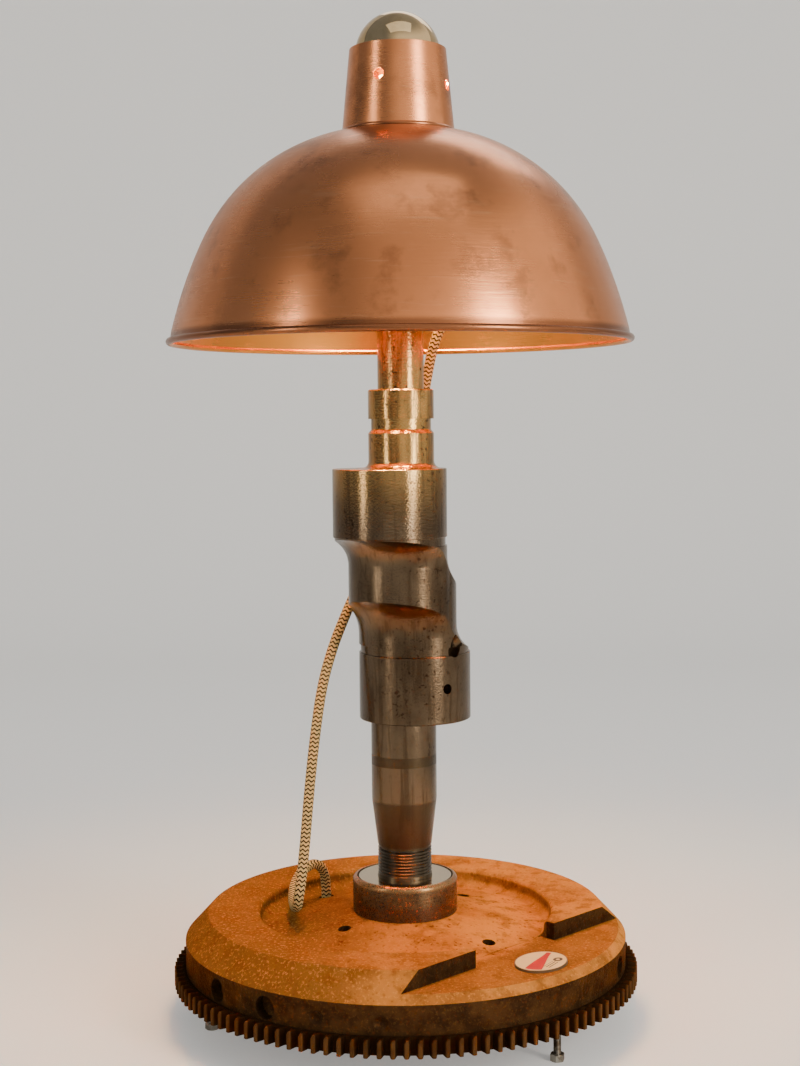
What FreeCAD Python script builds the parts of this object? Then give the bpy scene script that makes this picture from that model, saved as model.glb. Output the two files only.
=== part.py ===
import FreeCAD, Part
import math
import os
from types import SimpleNamespace

import Sketcher

# A table lamp made from engine parts: a flywheel with its ring gear stands on three bolt feet,
# an eccentric shaft is the column, and a copper dome shade hangs on the lampholder at its top.
# Millimetres, +Z up, the front of the lamp faces -Y, the origin is the middle of the standing face.

VECTOR = FreeCAD.Vector
UP = VECTOR(0, 0, 1)

os.makedirs("parts", exist_ok=True)
document = FreeCAD.newDocument("EngineShaftLamp")


# Driving dimensions

SIZES = {
    # feet
    "foot_lift": 25.0,
    "foot_inset": 8.5,
    "foot_count": 3,
    "bolt_radius": 2.5,
    "bolt_hole_radius": 2.6,
    "bolt_bite": 14.0,
    "bolt_hole_depth": 17.0,
    "bolt_head_flats": 8.0,
    "bolt_head_height": 4.6,
    "bolt_nut_height": 4.0,
    # flywheel casting, heights above its underside
    "recess_radius": 62.0,
    "recess_depth": 18.0,
    "rim_shoulder": 6.5,
    "rim_height": 29.0,
    "rim_chamfer": 15.0,
    "plateau_height": 45.0,
    "pocket_radius": 96.0,
    "pocket_fillet_share": 0.6,
    "pocket_round_share": 0.3,
    "floor_height": 34.0,
    "hub_seat_radius": 37.0,
    "hub_seat_height": 43.0,
    "step_distance": 97.0,
    "step_gap_start": 86.0,
    "step_gap_width": 74.0,
    "cast_hole_radius": 4.25,
    "cord_hole_radius": 5.4,
    "drill_radius": 7.2,
    "drill_depth": 7.0,
    "drill_height": 18.8,
    "drill_tip": 3.5,
    "dimple_radius": 4.4,
    "dimple_depth": 2.6,
    # starter ring gear
    "gear_module": 2.5,
    "gear_teeth": 120,
    "gear_thickness": 11.0,
    "gear_band": 8.375,
    "tooth_tip_share": 0.32,
    "tooth_root_share": 0.64,
    # badge
    "badge_half_length": 19.3,
    "badge_half_width": 15.2,
    "badge_thickness": 1.6,
    "badge_distance": 120.5,
    # collar and disc on the hub
    "collar_radius": 34.5,
    "collar_height": 23.4,
    "collar_shoulder": 3.0,
    "collar_lip_radius": 31.6,
    "disc_radius": 30.7,
    "disc_thickness": 3.4,
    "disc_sink": 0.4,
    # nut and washer under the flywheel
    "washer_radius": 33.0,
    "washer_thickness": 3.0,
    "shaft_nut_flats": 54.0,
    "shaft_nut_height": 11.0,
    # eccentric shaft, lengths from the bottom up
    "thread_radius": 17.8,
    "thread_depth": 0.9,
    "thread_pitch": 2.1,
    "thread_turns": 8,
    "thread_gap": 0.1,
    "thread_show": 18.5,
    "shaft_end_under_nut": 1.5,
    "undercut_radius": 16.9,
    "undercut_length": 2.4,
    "taper_length": 30.9,
    "journal_radius": 21.5,
    "journal_length": 51.1,
    "lobe_radius": 37.0,
    "lobe_length": 44.2,
    "lobe_chamfer": 0.4,
    "eccentricity": 15.0,
    "web_radius": 35.4,
    "web_length": 77.7,
    "web_fillet": 19.0,
    "neck_radius": 37.0,
    "neck_length": 12.3,
    "neck_fillet": 29.5,
    "relief_radius": 35.9,
    "relief_length": 5.5,
    "flare_length": 4.6,
    "collar_two_length": 18.0,
    "groove_radius": 19.6,
    "groove_length": 9.4,
    "groove_taper": 2.5,
    "collar_one_length": 19.0,
    "collar_chamfer": 0.8,
    "snout_radius": 15.1,
    "snout_length": 81.6,
    "snout_bore_radius": 9.0,
    "snout_bore_depth": 45.0,
    "oil_hole_radius": 3.3,
    "oil_hole_depth": 9.0,
    "corner_bore_radius": 5.4,
    "corner_bore_depth": 8.0,
    "corner_bore_rise": 6.5,
    "snout_oil_radius": 0.9,
    "snout_oil_height": 12.9,
    # stem between shaft and lampholder
    "plug_length": 25.0,
    "plug_gap": 0.1,
    "plug_hex_flats": 27.0,
    "plug_hex_height": 6.0,
    "stem_radius": 5.0,
    "stem_bore_radius": 3.6,
    "stem_sink": 20.0,
    "stem_nut_flats": 14.0,
    "stem_nut_height": 3.0,
    "cap_rise": 9.0,
    # lampholder
    "cap_radius": 21.5,
    "cap_wall": 1.2,
    "cap_height": 29.0,
    "sleeve_radius": 20.0,
    "sleeve_wall": 2.0,
    "sleeve_overlap": 8.0,
    "sleeve_height": 42.0,
    "sleeve_lip_radius": 14.7,
    "sleeve_lip": 1.5,
    "insert_gap": 0.3,
    "insert_floor": 14.0,
    "insert_height": 38.0,
    "insert_bore_radius": 14.6,
    "shell_wall": 0.6,
    "shell_gap": 0.1,
    "shell_height": 22.5,
    "contact_radius": 3.5,
    "contact_bore_radius": 4.0,
    "contact_flange_radius": 6.5,
    "contact_flange": 1.5,
    "contact_rise": 2.3,
    "outlet_radius": 6.0,
    "outlet_mouth_radius": 4.8,
    "outlet_length": 20.0,
    # shade rings and spider
    "shade_ring_radius": 25.0,
    "shade_ring_height": 4.0,
    "shade_ring_drop": 16.0,
    "ring_gap": 0.1,
    "spider_thickness": 1.2,
    "spider_flange_radius": 27.0,
    "spider_rim_radius": 34.3,
    "spider_rim_width": 4.0,
    "spider_window_width": 34.0,
    "spider_arms": 3,
    # shade
    "sheet": 1.2,
    "seam_rise": 20.6,
    "seam_radius": 36.2,
    "lip_radius": 33.5,
    "dome_height": 133.0,
    "dome_crown_radius": 125.34,
    "dome_shoulder_radius": 127.9,
    "dome_shoulder_rise": 62.0,
    "dome_flank_radius": 320.6,
    "dome_skirt_radius": 147.5,
    "dome_skirt_rise": 6.4,
    "shoulder_outward": 0.909,
    "shoulder_upward": 0.418,
    "bead_offset": 1.3,
    "bead_radius": 2.2,
    "bead_bore": 1.3,
    "wire_radius": 1.2,
    "neck_height": 53.0,
    "neck_bulb_gap": 2.5,
    "neck_foot": 1.0,
    "vent_radius": 3.5,
    "vent_rise": 32.0,
    "vent_drop": 4.0,
    # bulb, heights above its bottom contact
    "bulb_radius": 27.5,
    "bulb_centre_height": 77.5,
    "bulb_glass_wall": 0.9,
    "bulb_neck_radius": 13.2,
    "bulb_neck_height": 38.2,
    "bulb_cone_radius": 33.6,
    "bulb_tangent": 40.0,
    "bulb_root_radius": 11.9,
    "bulb_root_height": 19.0,
    "bulb_cap_radius": 13.1,
    "bulb_cap_wall": 0.9,
    "bulb_cap_height": 26.5,
    "bulb_cap_start": 6.0,
    "bulb_thread_pitch": 3.6,
    "bulb_thread_depth": 0.5,
    "bulb_thread_turns": 5,
    "bulb_contact_radius": 4.5,
    "bulb_contact_height": 2.0,
    "bulb_stem_radius": 3.0,
    "bulb_stem_height": 52.0,
    "bulb_stem_flare": 10.7,
    "filament_radius": 0.9,
    "filament_length": 28.0,
    "filament_circle": 6.5,
    "filament_count": 4,
    "filament_plate": 0.8,
    # cord and what is on it
    "cord_radius": 3.4,
    "cord_gap": 0.3,
    "grommet_flange": 3.0,
    "grommet_flange_height": 1.5,
    "coil_outer_radius": 48.0,
    "coil_pitch": 7.4,
    "coil_layer": 7.4,
    "coil_half_turns": 6,
    "switch_width": 28.0,
    "switch_length": 64.0,
    "switch_half_height": 9.0,
    "switch_wall": 2.2,
    "switch_cavity_length": 42.0,
    "rocker_width": 9.0,
    "rocker_length": 18.0,
    "rocker_height": 9.0,
    "rocker_crown": 1.3,
    "rocker_gap": 0.5,
    "rocker_tilt": 8.0,
    "rocker_pin_radius": 1.3,
    "rocker_pin_bite": 1.6,
    "rocker_pin_gap": 0.05,
    "switch_screw_radius": 1.5,
    "switch_screw_head": 2.6,
    "switch_screw_spacing": 50.0,
    "terminal_size": 7.0,
    "plug_face_radius": 18.5,
    "plug_face_length": 17.0,
    "plug_grip_radius": 12.5,
    "plug_grip_length": 15.0,
    "plug_tail_radius": 4.6,
    "plug_tail_spread": 2.4,
    "plug_tail_length": 22.0,
    "pin_radius": 2.4,
    "pin_length": 19.0,
    "pin_spacing": 19.0,
    "earth_width": 6.0,
    "earth_thickness": 1.0,
}


# Directions seen from above, in degrees from the front towards the right

STEP_DIRECTION = 45.0
BADGE_DIRECTION = 43.3
BADGE_TURN = 57.0
FOOT_DIRECTION = 45.0
LOBE_DIRECTION = 149.0
OIL_HOLE_DIRECTION = 34.5
CORNER_BORE_DIRECTION = 71.0
CORNER_BORE_TILT = 45.0
SNOUT_OIL_DIRECTION = 58.5
VENT_DIRECTION = -21.5
OUTLET_DIRECTION = 100.0
OUTLET_TILT = 45.0
LARGE_DRILLINGS = (-52.9, -35.5, 69.6)
SMALL_DRILLINGS = (-21.4, -5.9)
CAST_HOLES = ((52.5, -48.5), (75.0, 44.5), (56.5, 135.0))
CORD_HOLE = (-55.0, 52.5)

# Where the switch, the coil and the plug lie behind the lamp

SWITCH_PLACE = (-100.0, 203.0)
COIL_PLACE = (-35.0, 240.0)
PLUG_PLACE = (43.0, 228.0)
FLOOR_GAP = 0.3


class Size:
    """A size of the sheet, or a sum of some: its number and the sheet's formula for it."""

    def __init__(self, value, text):
        self.value = value
        self.text = text

    def __add__(self, other):
        return Size(self.value + other.value, f"({self.text} + {other.text})")

    def __sub__(self, other):
        return Size(self.value - other.value, f"({self.text} - {other.text})")

    def __mul__(self, factor):
        if isinstance(factor, Size):
            return Size(self.value * factor.value, f"({self.text} * {factor.text})")
        return Size(self.value * factor, f"({self.text} * {factor})")

    def __truediv__(self, factor):
        return Size(self.value / factor, f"({self.text} / {factor})")

    def __neg__(self):
        return Size(-self.value, f"(-{self.text})")


def make_sheet():
    sheet = document.addObject("Spreadsheet::Sheet", "Sizes")
    named = {}
    for row, (name, value) in enumerate(SIZES.items(), start=1):
        sheet.set(f"A{row}", name)
        sheet.set(f"B{row}", str(value))
        sheet.setAlias(f"B{row}", name)
        named[name] = Size(value, f"Sizes.{name}")
    document.recompute()
    return SimpleNamespace(**named)


size = make_sheet()
NOTHING = Size(0.0, "0")
nodes = []


def bind(target, path, value):
    target.setExpression(path, value.text)


def keep(target, label):
    """Names an object as a piece of the lamp, to be written to its own file."""
    target.Label = label
    nodes.append(target)
    return target


def across_flats(flats):
    """The circumradius of a hexagon from its width across flats."""
    return flats * round(1 / math.sqrt(3), 6)


def heading(direction):
    """The unit vector of a direction seen from above."""
    angle = math.radians(direction)
    return VECTOR(math.sin(angle), -math.cos(angle), 0)


def origin_plane(body, role):
    return next(part for part in body.Origin.OriginFeatures if part.Role == role)


def new_sketch(body, label, role="XZ_Plane"):
    sketch = body.newObject("Sketcher::SketchObject", label)
    sketch.AttachmentSupport = [(origin_plane(body, role), "")]
    sketch.MapMode = "FlatFace"
    return sketch


def arc_centre(start, end, radius, side):
    """The centre of the shorter arc between two points, on the left (1) or right (-1) of the way."""
    chord = end - start
    rise = math.sqrt(max(radius ** 2 - (chord.Length / 2) ** 2, 0.0))
    left = VECTOR(-chord.y, chord.x, 0).normalize()
    return (start + end) / 2 + left * rise * side


def hold(sketch, edge, end, out, high, rules, formulas):
    """Holds an edge's end at a distance out from the axis and a height."""
    for kind, axis, value in (("DistanceX", -2, out), ("DistanceY", -1, high)):
        if value is NOTHING:
            rules.append(Sketcher.Constraint("PointOnObject", edge, end, axis))
            formulas.append(None)
        else:
            rules.append(Sketcher.Constraint(kind, -1, 1, edge, end, value.value))
            formulas.append(value)


def outline(sketch, steps):
    """Draws a closed outline; a step is (out, up) or, at an arc's end, (out, up, radius, side)."""
    rules = []
    formulas = []
    joints = []
    for edge, step in enumerate(steps):
        before = steps[edge - 1]
        start = VECTOR(before[0].value, before[1].value, 0)
        end = VECTOR(step[0].value, step[1].value, 0)
        first, last = 1, 2
        if len(step) == 2:
            sketch.addGeometry(Part.LineSegment(start, end), False)
        else:
            radius, side = step[2], step[3]
            centre = arc_centre(start, end, radius.value, side)
            if side < 0:
                start, end = end, start
                first, last = 2, 1
            begin = math.atan2(start.y - centre.y, start.x - centre.x)
            finish = math.atan2(end.y - centre.y, end.x - centre.x)
            if finish < begin:
                finish += 2 * math.pi
            circle = Part.Circle(centre, UP, radius.value)
            sketch.addGeometry(Part.ArcOfCircle(circle, begin, finish), False)
            rules.append(Sketcher.Constraint("Radius", edge, radius.value))
            formulas.append(radius)
        joints.append((first, last))
        hold(sketch, edge, last, step[0], step[1], rules, formulas)
    for edge, (first, last) in enumerate(joints):
        following = (edge + 1) % len(joints)
        rules.append(Sketcher.Constraint("Coincident", edge, last, following, joints[following][0]))
        formulas.append(None)
    for index, value in zip(sketch.addConstraint(rules), formulas):
        if value is not None:
            bind(sketch, f"Constraints[{index}]", value)


def set_place(target, x=NOTHING, y=NOTHING, z=NOTHING, turn=None):
    """Puts an object at a place bound to the sheet, after any turn."""
    if turn is not None:
        target.Placement = FreeCAD.Placement(VECTOR(), turn)
    for axis, value in (("x", x), ("y", y), ("z", z)):
        if value is not NOTHING:
            bind(target, f"Placement.Base.{axis}", value)
    return target


def turned(label, steps, z=NOTHING):
    """A body turned about the upright axis from an outline."""
    body = document.addObject("PartDesign::Body", label)
    sketch = new_sketch(body, label + "Outline")
    outline(sketch, steps)
    revolution = body.newObject("PartDesign::Revolution", label + "Turned")
    revolution.Profile = sketch
    revolution.ReferenceAxis = (sketch, ["V_Axis"])
    revolution.Angle = 360
    body.Tip = revolution
    return set_place(body, z=z)


def ring(label, outer, inner, low, high):
    """A plain ring between two radii and two heights."""
    return turned(label, [(inner, low), (outer, low), (outer, high), (inner, high)])


def cylinder(label, radius, height, x=NOTHING, y=NOTHING, z=NOTHING):
    made = document.addObject("Part::Cylinder", label)
    bind(made, "Radius", radius)
    bind(made, "Height", height)
    return set_place(made, x, y, z)


def hexagon(label, flats, height, x=NOTHING, y=NOTHING, z=NOTHING):
    made = document.addObject("Part::Prism", label)
    made.Polygon = 6
    bind(made, "Circumradius", across_flats(flats))
    bind(made, "Height", height)
    return set_place(made, x, y, z)


def block(label, width, depth, height, x, y, z):
    """A box centred on x and y that stands at z."""
    made = document.addObject("Part::Box", label)
    bind(made, "Length", width)
    bind(made, "Width", depth)
    bind(made, "Height", height)
    return set_place(made, x - width / 2, y - depth / 2, z)


def cut(label, base, *tools):
    made = document.addObject("Part::Cut", label)
    made.Base = base
    made.Tool = tools[0] if len(tools) == 1 else fused(label + "Tools", *tools)
    return made


def fused(label, *shapes):
    made = document.addObject("Part::MultiFuse", label)
    made.Shapes = list(shapes)
    return made


def group(label, members):
    made = document.addObject("Part::Compound", label)
    made.Links = list(members)
    return made


def aim(made, start, direction):
    """Points a cylinder's or cone's own axis along a direction from a place."""
    made.Placement = FreeCAD.Placement(start, FreeCAD.Rotation(UP, direction))
    return made


# Radii that follow from the ring gear

gear_root_radius = size.gear_module * ((SIZES["gear_teeth"] - 2.5) / 2)
gear_tip_radius = size.gear_module * ((SIZES["gear_teeth"] + 2) / 2)
gear_seat_radius = gear_root_radius - size.gear_band
rim_radius = gear_seat_radius + size.rim_shoulder
plateau_radius = rim_radius - size.rim_chamfer
foot_circle_radius = gear_seat_radius - size.foot_inset
bead_centre_radius = size.dome_skirt_radius + size.bead_offset


# Heights above the standing face

under = size.foot_lift
hub_top = under + size.hub_seat_height
collar_top = hub_top + size.collar_height
thread_top = collar_top + size.thread_show
taper_bottom = thread_top + size.undercut_length
taper_top = taper_bottom + size.taper_length
lower_lobe = taper_top + size.journal_length
lower_lobe_top = lower_lobe + size.lobe_length
upper_lobe = lower_lobe_top + size.web_length
upper_lobe_top = upper_lobe + size.lobe_length
collar_two = upper_lobe_top + size.flare_length
groove_bottom = collar_two + size.collar_two_length
groove_top = groove_bottom + size.groove_length
collar_one_top = groove_top + size.collar_one_length
snout_top = collar_one_top + size.snout_length
plug_top = snout_top + size.plug_hex_height
cap_floor = plug_top + size.cap_rise
cap_top = cap_floor + size.cap_height
sleeve_bottom = cap_top - size.sleeve_overlap
sleeve_top = sleeve_bottom + size.sleeve_height
insert_top = sleeve_top - size.sleeve_lip
insert_bottom = insert_top - size.insert_height
shell_seat = insert_bottom + size.insert_floor
spider_seat = sleeve_top - size.shade_ring_drop
seam = spider_seat + size.seam_rise
rim = seam - size.dome_height
bulb_bottom = shell_seat + size.contact_rise
washer_bottom = under + size.recess_depth - size.washer_thickness
shaft_nut_bottom = washer_bottom - size.shaft_nut_height
shaft_bottom = shaft_nut_bottom - size.shaft_end_under_nut
shaft_hole_radius = size.thread_radius + size.thread_gap


# Base

def flywheel_casting():
    pocket_depth = size.plateau_height - size.floor_height
    pocket_round = pocket_depth * size.pocket_round_share
    pocket_fillet = pocket_depth * size.pocket_fillet_share
    steps = [
        (shaft_hole_radius, size.recess_depth),
        (size.recess_radius, size.recess_depth),
        (size.recess_radius, NOTHING),
        (gear_seat_radius, NOTHING),
        (gear_seat_radius, size.gear_thickness),
        (rim_radius, size.gear_thickness),
        (rim_radius, size.rim_height),
        (plateau_radius, size.plateau_height),
        (size.pocket_radius + pocket_round, size.plateau_height),
        (size.pocket_radius, size.plateau_height - pocket_round, pocket_round, 1),
        (size.pocket_radius, size.floor_height + pocket_fillet),
        (size.pocket_radius - pocket_fillet, size.floor_height, pocket_fillet, -1),
        (size.hub_seat_radius, size.hub_seat_height),
        (shaft_hole_radius, size.hub_seat_height),
    ]
    body = turned("FlywheelCasting", steps)
    document.recompute()
    turned_volume = body.Shape.Volume

    beyond = rim_radius * 1.2
    half_gap = size.step_gap_width / 2
    step = new_sketch(body, "StepOutline", "XY_Plane")
    bind(step, "AttachmentOffset.Base.z", size.floor_height)
    corners = [
        (size.step_distance, -beyond),
        (size.step_distance, -half_gap),
        (size.step_gap_start, -half_gap),
        (size.step_gap_start, half_gap),
        (size.step_distance, half_gap),
        (size.step_distance, beyond),
        (beyond, beyond),
        (beyond, -beyond),
    ]
    outline(step, corners)
    lowered = body.newObject("PartDesign::Pocket", "LoweredStep")
    lowered.Profile = step
    lowered.Reversed = True
    bind(lowered, "Length", size.plateau_height)

    foot_holes = new_sketch(body, "FootHoles", "XY_Plane")
    for index in range(SIZES["foot_count"]):
        direction = FOOT_DIRECTION - STEP_DIRECTION + 360 / SIZES["foot_count"] * index
        draw_hole(foot_holes, foot_circle_radius, direction, size.bolt_hole_radius)
    tapped = body.newObject("PartDesign::Pocket", "TappedFootHoles")
    tapped.Profile = foot_holes
    tapped.Reversed = True
    bind(tapped, "Length", size.bolt_hole_depth)

    through = new_sketch(body, "ThroughHoles", "XY_Plane")
    for distance, direction in CAST_HOLES:
        place = Size(distance, str(distance))
        draw_hole(through, place, direction - STEP_DIRECTION, size.cast_hole_radius)
    cord_distance = math.hypot(*CORD_HOLE)
    cord_direction = math.degrees(math.atan2(CORD_HOLE[0], -CORD_HOLE[1]))
    cord_place = Size(cord_distance, str(cord_distance))
    draw_hole(through, cord_place, cord_direction - STEP_DIRECTION, size.cord_hole_radius)
    drilled = body.newObject("PartDesign::Pocket", "DrilledThrough")
    drilled.Profile = through
    drilled.Reversed = True
    bind(drilled, "Length", size.plateau_height * 1.1)
    body.Tip = drilled
    document.recompute()
    if body.Shape.Volume >= turned_volume:
        raise ValueError("the flywheel's pockets cut nothing")

    set_place(body, z=under, turn=FreeCAD.Rotation(UP, STEP_DIRECTION - 90))
    tools = [radial_drill(f"Drilling{index}", direction, size.drill_radius, size.drill_depth, size.drill_tip)
             for index, direction in enumerate(LARGE_DRILLINGS)]
    tools += [radial_drill(f"Dimple{index}", direction, size.dimple_radius, NOTHING, size.dimple_depth)
              for index, direction in enumerate(SMALL_DRILLINGS)]
    keep(cut("Flywheel", body, *tools), "flywheel")


def draw_hole(sketch, distance, direction, radius):
    """Adds a bound circle at a distance from the middle, turned from the sketch's own X axis."""
    angle = math.radians(direction)
    centre = VECTOR(math.cos(angle), math.sin(angle), 0) * distance.value
    circle = sketch.addGeometry(Part.Circle(centre, UP, radius.value), False)
    rules = [
        Sketcher.Constraint("DistanceX", -1, 1, circle, 3, centre.x),
        Sketcher.Constraint("DistanceY", -1, 1, circle, 3, centre.y),
        Sketcher.Constraint("Radius", circle, radius.value),
    ]
    places = sketch.addConstraint(rules)
    bind(sketch, f"Constraints[{places[0]}]", distance * round(math.cos(angle), 9))
    bind(sketch, f"Constraints[{places[1]}]", distance * round(math.sin(angle), 9))
    bind(sketch, f"Constraints[{places[2]}]", radius)


def radial_drill(label, direction, radius, depth, tip):
    """A drill that goes into the rim, with a straight part and a pointed end."""
    inward = heading(direction) * -1
    height = under.value + size.drill_height.value
    mouth = heading(direction) * (rim_radius.value + 1) + UP * height
    start_tip = heading(direction) * (rim_radius.value - depth.value) + UP * height
    point = document.addObject("Part::Cone", label + "Point")
    bind(point, "Radius1", radius)
    point.Radius2 = 0
    bind(point, "Height", tip)
    aim(point, start_tip, inward)
    if depth is NOTHING:
        return point
    straight = cylinder(label + "Straight", radius, depth + Size(1, "1"))
    aim(straight, mouth, inward)
    return fused(label, straight, point)


def ring_gear():
    teeth = SIZES["gear_teeth"]
    tip = gear_tip_radius.value
    root = gear_root_radius.value
    pitch = 2 * math.pi / teeth
    tip_half = pitch * size.tooth_tip_share.value / 2
    root_half = pitch * size.tooth_root_share.value / 2
    points = []
    for tooth in range(teeth):
        middle = pitch * tooth
        for radius, angle in ((root, -root_half), (tip, -tip_half), (tip, tip_half), (root, root_half)):
            points.append(VECTOR(radius * math.cos(middle + angle), radius * math.sin(middle + angle), 0))
    thickness = size.gear_thickness.value
    blank = Part.Face(Part.makePolygon(points + points[:1])).extrude(UP * thickness)
    gear = document.addObject("Part::Feature", "RingGear")
    gear.Shape = blank.cut(Part.makeCylinder(gear_seat_radius.value, thickness))
    set_place(gear, z=under)
    keep(gear, "ring_gear")


def feet():
    bolts = []
    nuts = []
    for index in range(SIZES["foot_count"]):
        place = heading(FOOT_DIRECTION + 360 / SIZES["foot_count"] * index)
        x = foot_circle_radius * round(place.x, 9)
        y = foot_circle_radius * round(place.y, 9)
        head = hexagon(f"FootHead{index}", size.bolt_head_flats, size.bolt_head_height, x, y)
        shank = cylinder(f"FootShank{index}", size.bolt_radius, size.foot_lift + size.bolt_bite, x, y)
        bolts.append(fused(f"FootBolt{index}", head, shank))
        nut_bottom = under - size.bolt_nut_height
        nut = hexagon(f"NutBlank{index}", size.bolt_head_flats, size.bolt_nut_height, x, y, nut_bottom)
        bore = cylinder(f"NutBore{index}", size.bolt_hole_radius, size.bolt_nut_height, x, y, nut_bottom)
        nuts.append(cut(f"FootNut{index}", nut, bore))
    keep(group("FootBolts", bolts), "foot_bolts")
    keep(group("FootNuts", nuts), "foot_lock_nuts")


def hub_pieces():
    seat = size.disc_thickness + size.disc_sink
    lip_gap = size.collar_radius - size.collar_lip_radius
    steps = [
        (shaft_hole_radius, NOTHING),
        (size.collar_radius, NOTHING),
        (size.collar_radius, size.collar_height - lip_gap),
        (size.collar_lip_radius, size.collar_height, lip_gap, 1),
        (size.collar_lip_radius, size.collar_height - seat),
        (shaft_hole_radius, size.collar_height - seat),
    ]
    keep(turned("HubCollar", steps, hub_top), "hub_collar")
    disc_bottom = collar_top - seat
    disc = ring("Disc", size.disc_radius, shaft_hole_radius, disc_bottom, disc_bottom + size.disc_thickness)
    keep(disc, "polished_disc")
    washer = ring("Washer", size.washer_radius, shaft_hole_radius, washer_bottom,
                  washer_bottom + size.washer_thickness)
    keep(washer, "shaft_washer")
    blank = hexagon("ShaftNutBlank", size.shaft_nut_flats, size.shaft_nut_height, z=shaft_nut_bottom)
    bore = cylinder("ShaftNutBore", shaft_hole_radius, size.shaft_nut_height, z=shaft_nut_bottom)
    keep(cut("ShaftNut", blank, bore), "shaft_nut")


def badge():
    place = heading(BADGE_DIRECTION)
    edge = document.addObject("Part::Ellipse", "BadgeEdge")
    bind(edge, "MajorRadius", size.badge_half_length)
    bind(edge, "MinorRadius", size.badge_half_width)
    oval = document.addObject("Part::Extrusion", "Badge")
    oval.Base = edge
    oval.DirMode = "Custom"
    oval.Dir = UP
    oval.Solid = True
    bind(oval, "LengthFwd", size.badge_thickness)
    set_place(oval, size.badge_distance * round(place.x, 9), size.badge_distance * round(place.y, 9),
              under + size.floor_height, turn=FreeCAD.Rotation(UP, BADGE_TURN))
    keep(oval, "badge")


# Eccentric shaft, with its lower lobe towards its own X axis

def eccentric_shaft():
    web_low = lower_lobe_top + size.web_fillet
    web_high = upper_lobe - size.web_fillet
    flared = size.web_radius + size.web_fillet
    steps = [
        (NOTHING, shaft_bottom),
        (size.thread_radius - size.thread_depth, shaft_bottom),
        (size.thread_radius, shaft_bottom + size.thread_depth),
    ]
    for turn in range(SIZES["thread_turns"]):
        crest = thread_top - size.thread_pitch * (SIZES["thread_turns"] - turn)
        steps += [
            (size.thread_radius, crest),
            (size.thread_radius - size.thread_depth, crest + size.thread_pitch / 2),
        ]
    steps += [
        (size.thread_radius, thread_top),
        (size.undercut_radius, thread_top),
        (size.undercut_radius, taper_bottom),
        (size.thread_radius, taper_bottom),
        (size.journal_radius, taper_top),
        (size.journal_radius, lower_lobe_top - size.lobe_length / 2),
        (flared, lower_lobe_top - size.lobe_length / 2),
        (flared, lower_lobe_top),
        (size.web_radius, web_low, size.web_fillet, -1),
        (size.web_radius, web_high),
        (flared, upper_lobe, size.web_fillet, -1),
        (flared, upper_lobe + size.lobe_length / 2),
        (size.journal_radius, upper_lobe + size.lobe_length / 2),
        (size.journal_radius, upper_lobe_top),
        (size.journal_radius + size.flare_length, upper_lobe_top),
        (size.journal_radius, collar_two, size.flare_length, -1),
        (size.journal_radius, groove_bottom),
        (size.groove_radius, groove_bottom + size.groove_taper),
        (size.groove_radius, groove_top),
        (size.journal_radius, groove_top),
        (size.journal_radius, collar_one_top - size.collar_chamfer),
        (size.journal_radius - size.collar_chamfer, collar_one_top),
        (size.snout_radius, collar_one_top),
        (size.snout_radius, snout_top - size.collar_chamfer),
        (size.snout_radius - size.collar_chamfer, snout_top),
        (size.snout_bore_radius, snout_top),
        (size.snout_bore_radius, snout_top - size.snout_bore_depth),
        (NOTHING, snout_top - size.snout_bore_depth),
    ]
    core = turned("ShaftCore", steps)
    around = FreeCAD.Rotation(UP, LOBE_DIRECTION - 90)
    across = around.multVec(VECTOR(1, 0, 0))

    def lobe_place(made, side):
        offset = size.eccentricity * side
        bind(made, "Placement.Base.x", offset * round(across.x, 9))
        bind(made, "Placement.Base.y", offset * round(across.y, 9))
        return made

    web_cuts = []
    lobes = []
    for name, side, bottom, face in (("Lower", 1, lower_lobe, lower_lobe_top),
                                     ("Upper", -1, upper_lobe, upper_lobe)):
        lobes.append(lobe_place(turned(name + "Lobe", lobe_steps(bottom)), side))
        web_cuts.append(lobe_place(turned(name + "WebCut", web_cut_steps(face, side, flared)), side))
    inner = size.lobe_radius - size.lobe_chamfer / 2
    flare_cut = ring("FlareCut", flared, inner, upper_lobe_top - size.flare_length, collar_two)
    web_cuts.append(lobe_place(flare_cut, -1))
    trimmed = cut("TrimmedCore", core, *web_cuts)
    solid = fused("ShaftSolid", trimmed, *lobes)

    lower_middle = across * size.eccentricity.value
    out = heading(OIL_HOLE_DIRECTION)
    lobe_hole = cylinder("LobeOilHole", size.oil_hole_radius, size.oil_hole_depth + Size(1, "1"))
    start = lower_middle + out * (size.lobe_radius.value + 1)
    start += UP * (lower_lobe.value + size.lobe_length.value * 0.52)
    aim(lobe_hole, start, out * -1)
    corner_level = heading(CORNER_BORE_DIRECTION)
    corner_out = corner_level * math.cos(math.radians(CORNER_BORE_TILT))
    corner_out += UP * math.sin(math.radians(CORNER_BORE_TILT))
    corner_bore = cylinder("CornerBore", size.corner_bore_radius, size.corner_bore_depth * 2)
    corner_mouth = corner_level * (size.web_radius.value + size.corner_bore_radius.value / 4)
    corner_mouth += UP * (lower_lobe_top.value + size.corner_bore_rise.value)
    aim(corner_bore, corner_mouth + corner_out * size.corner_bore_depth.value, corner_out * -1)
    snout_out = heading(SNOUT_OIL_DIRECTION)
    snout_hole = cylinder("SnoutOilHole", size.snout_oil_radius, size.snout_radius)
    snout_start = snout_out * (size.snout_radius.value + 1)
    snout_start += UP * (collar_one_top.value + size.snout_oil_height.value)
    aim(snout_hole, snout_start, snout_out * -1)
    keep(cut("EccentricShaft", solid, lobe_hole, corner_bore, snout_hole), "eccentric_shaft")


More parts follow.
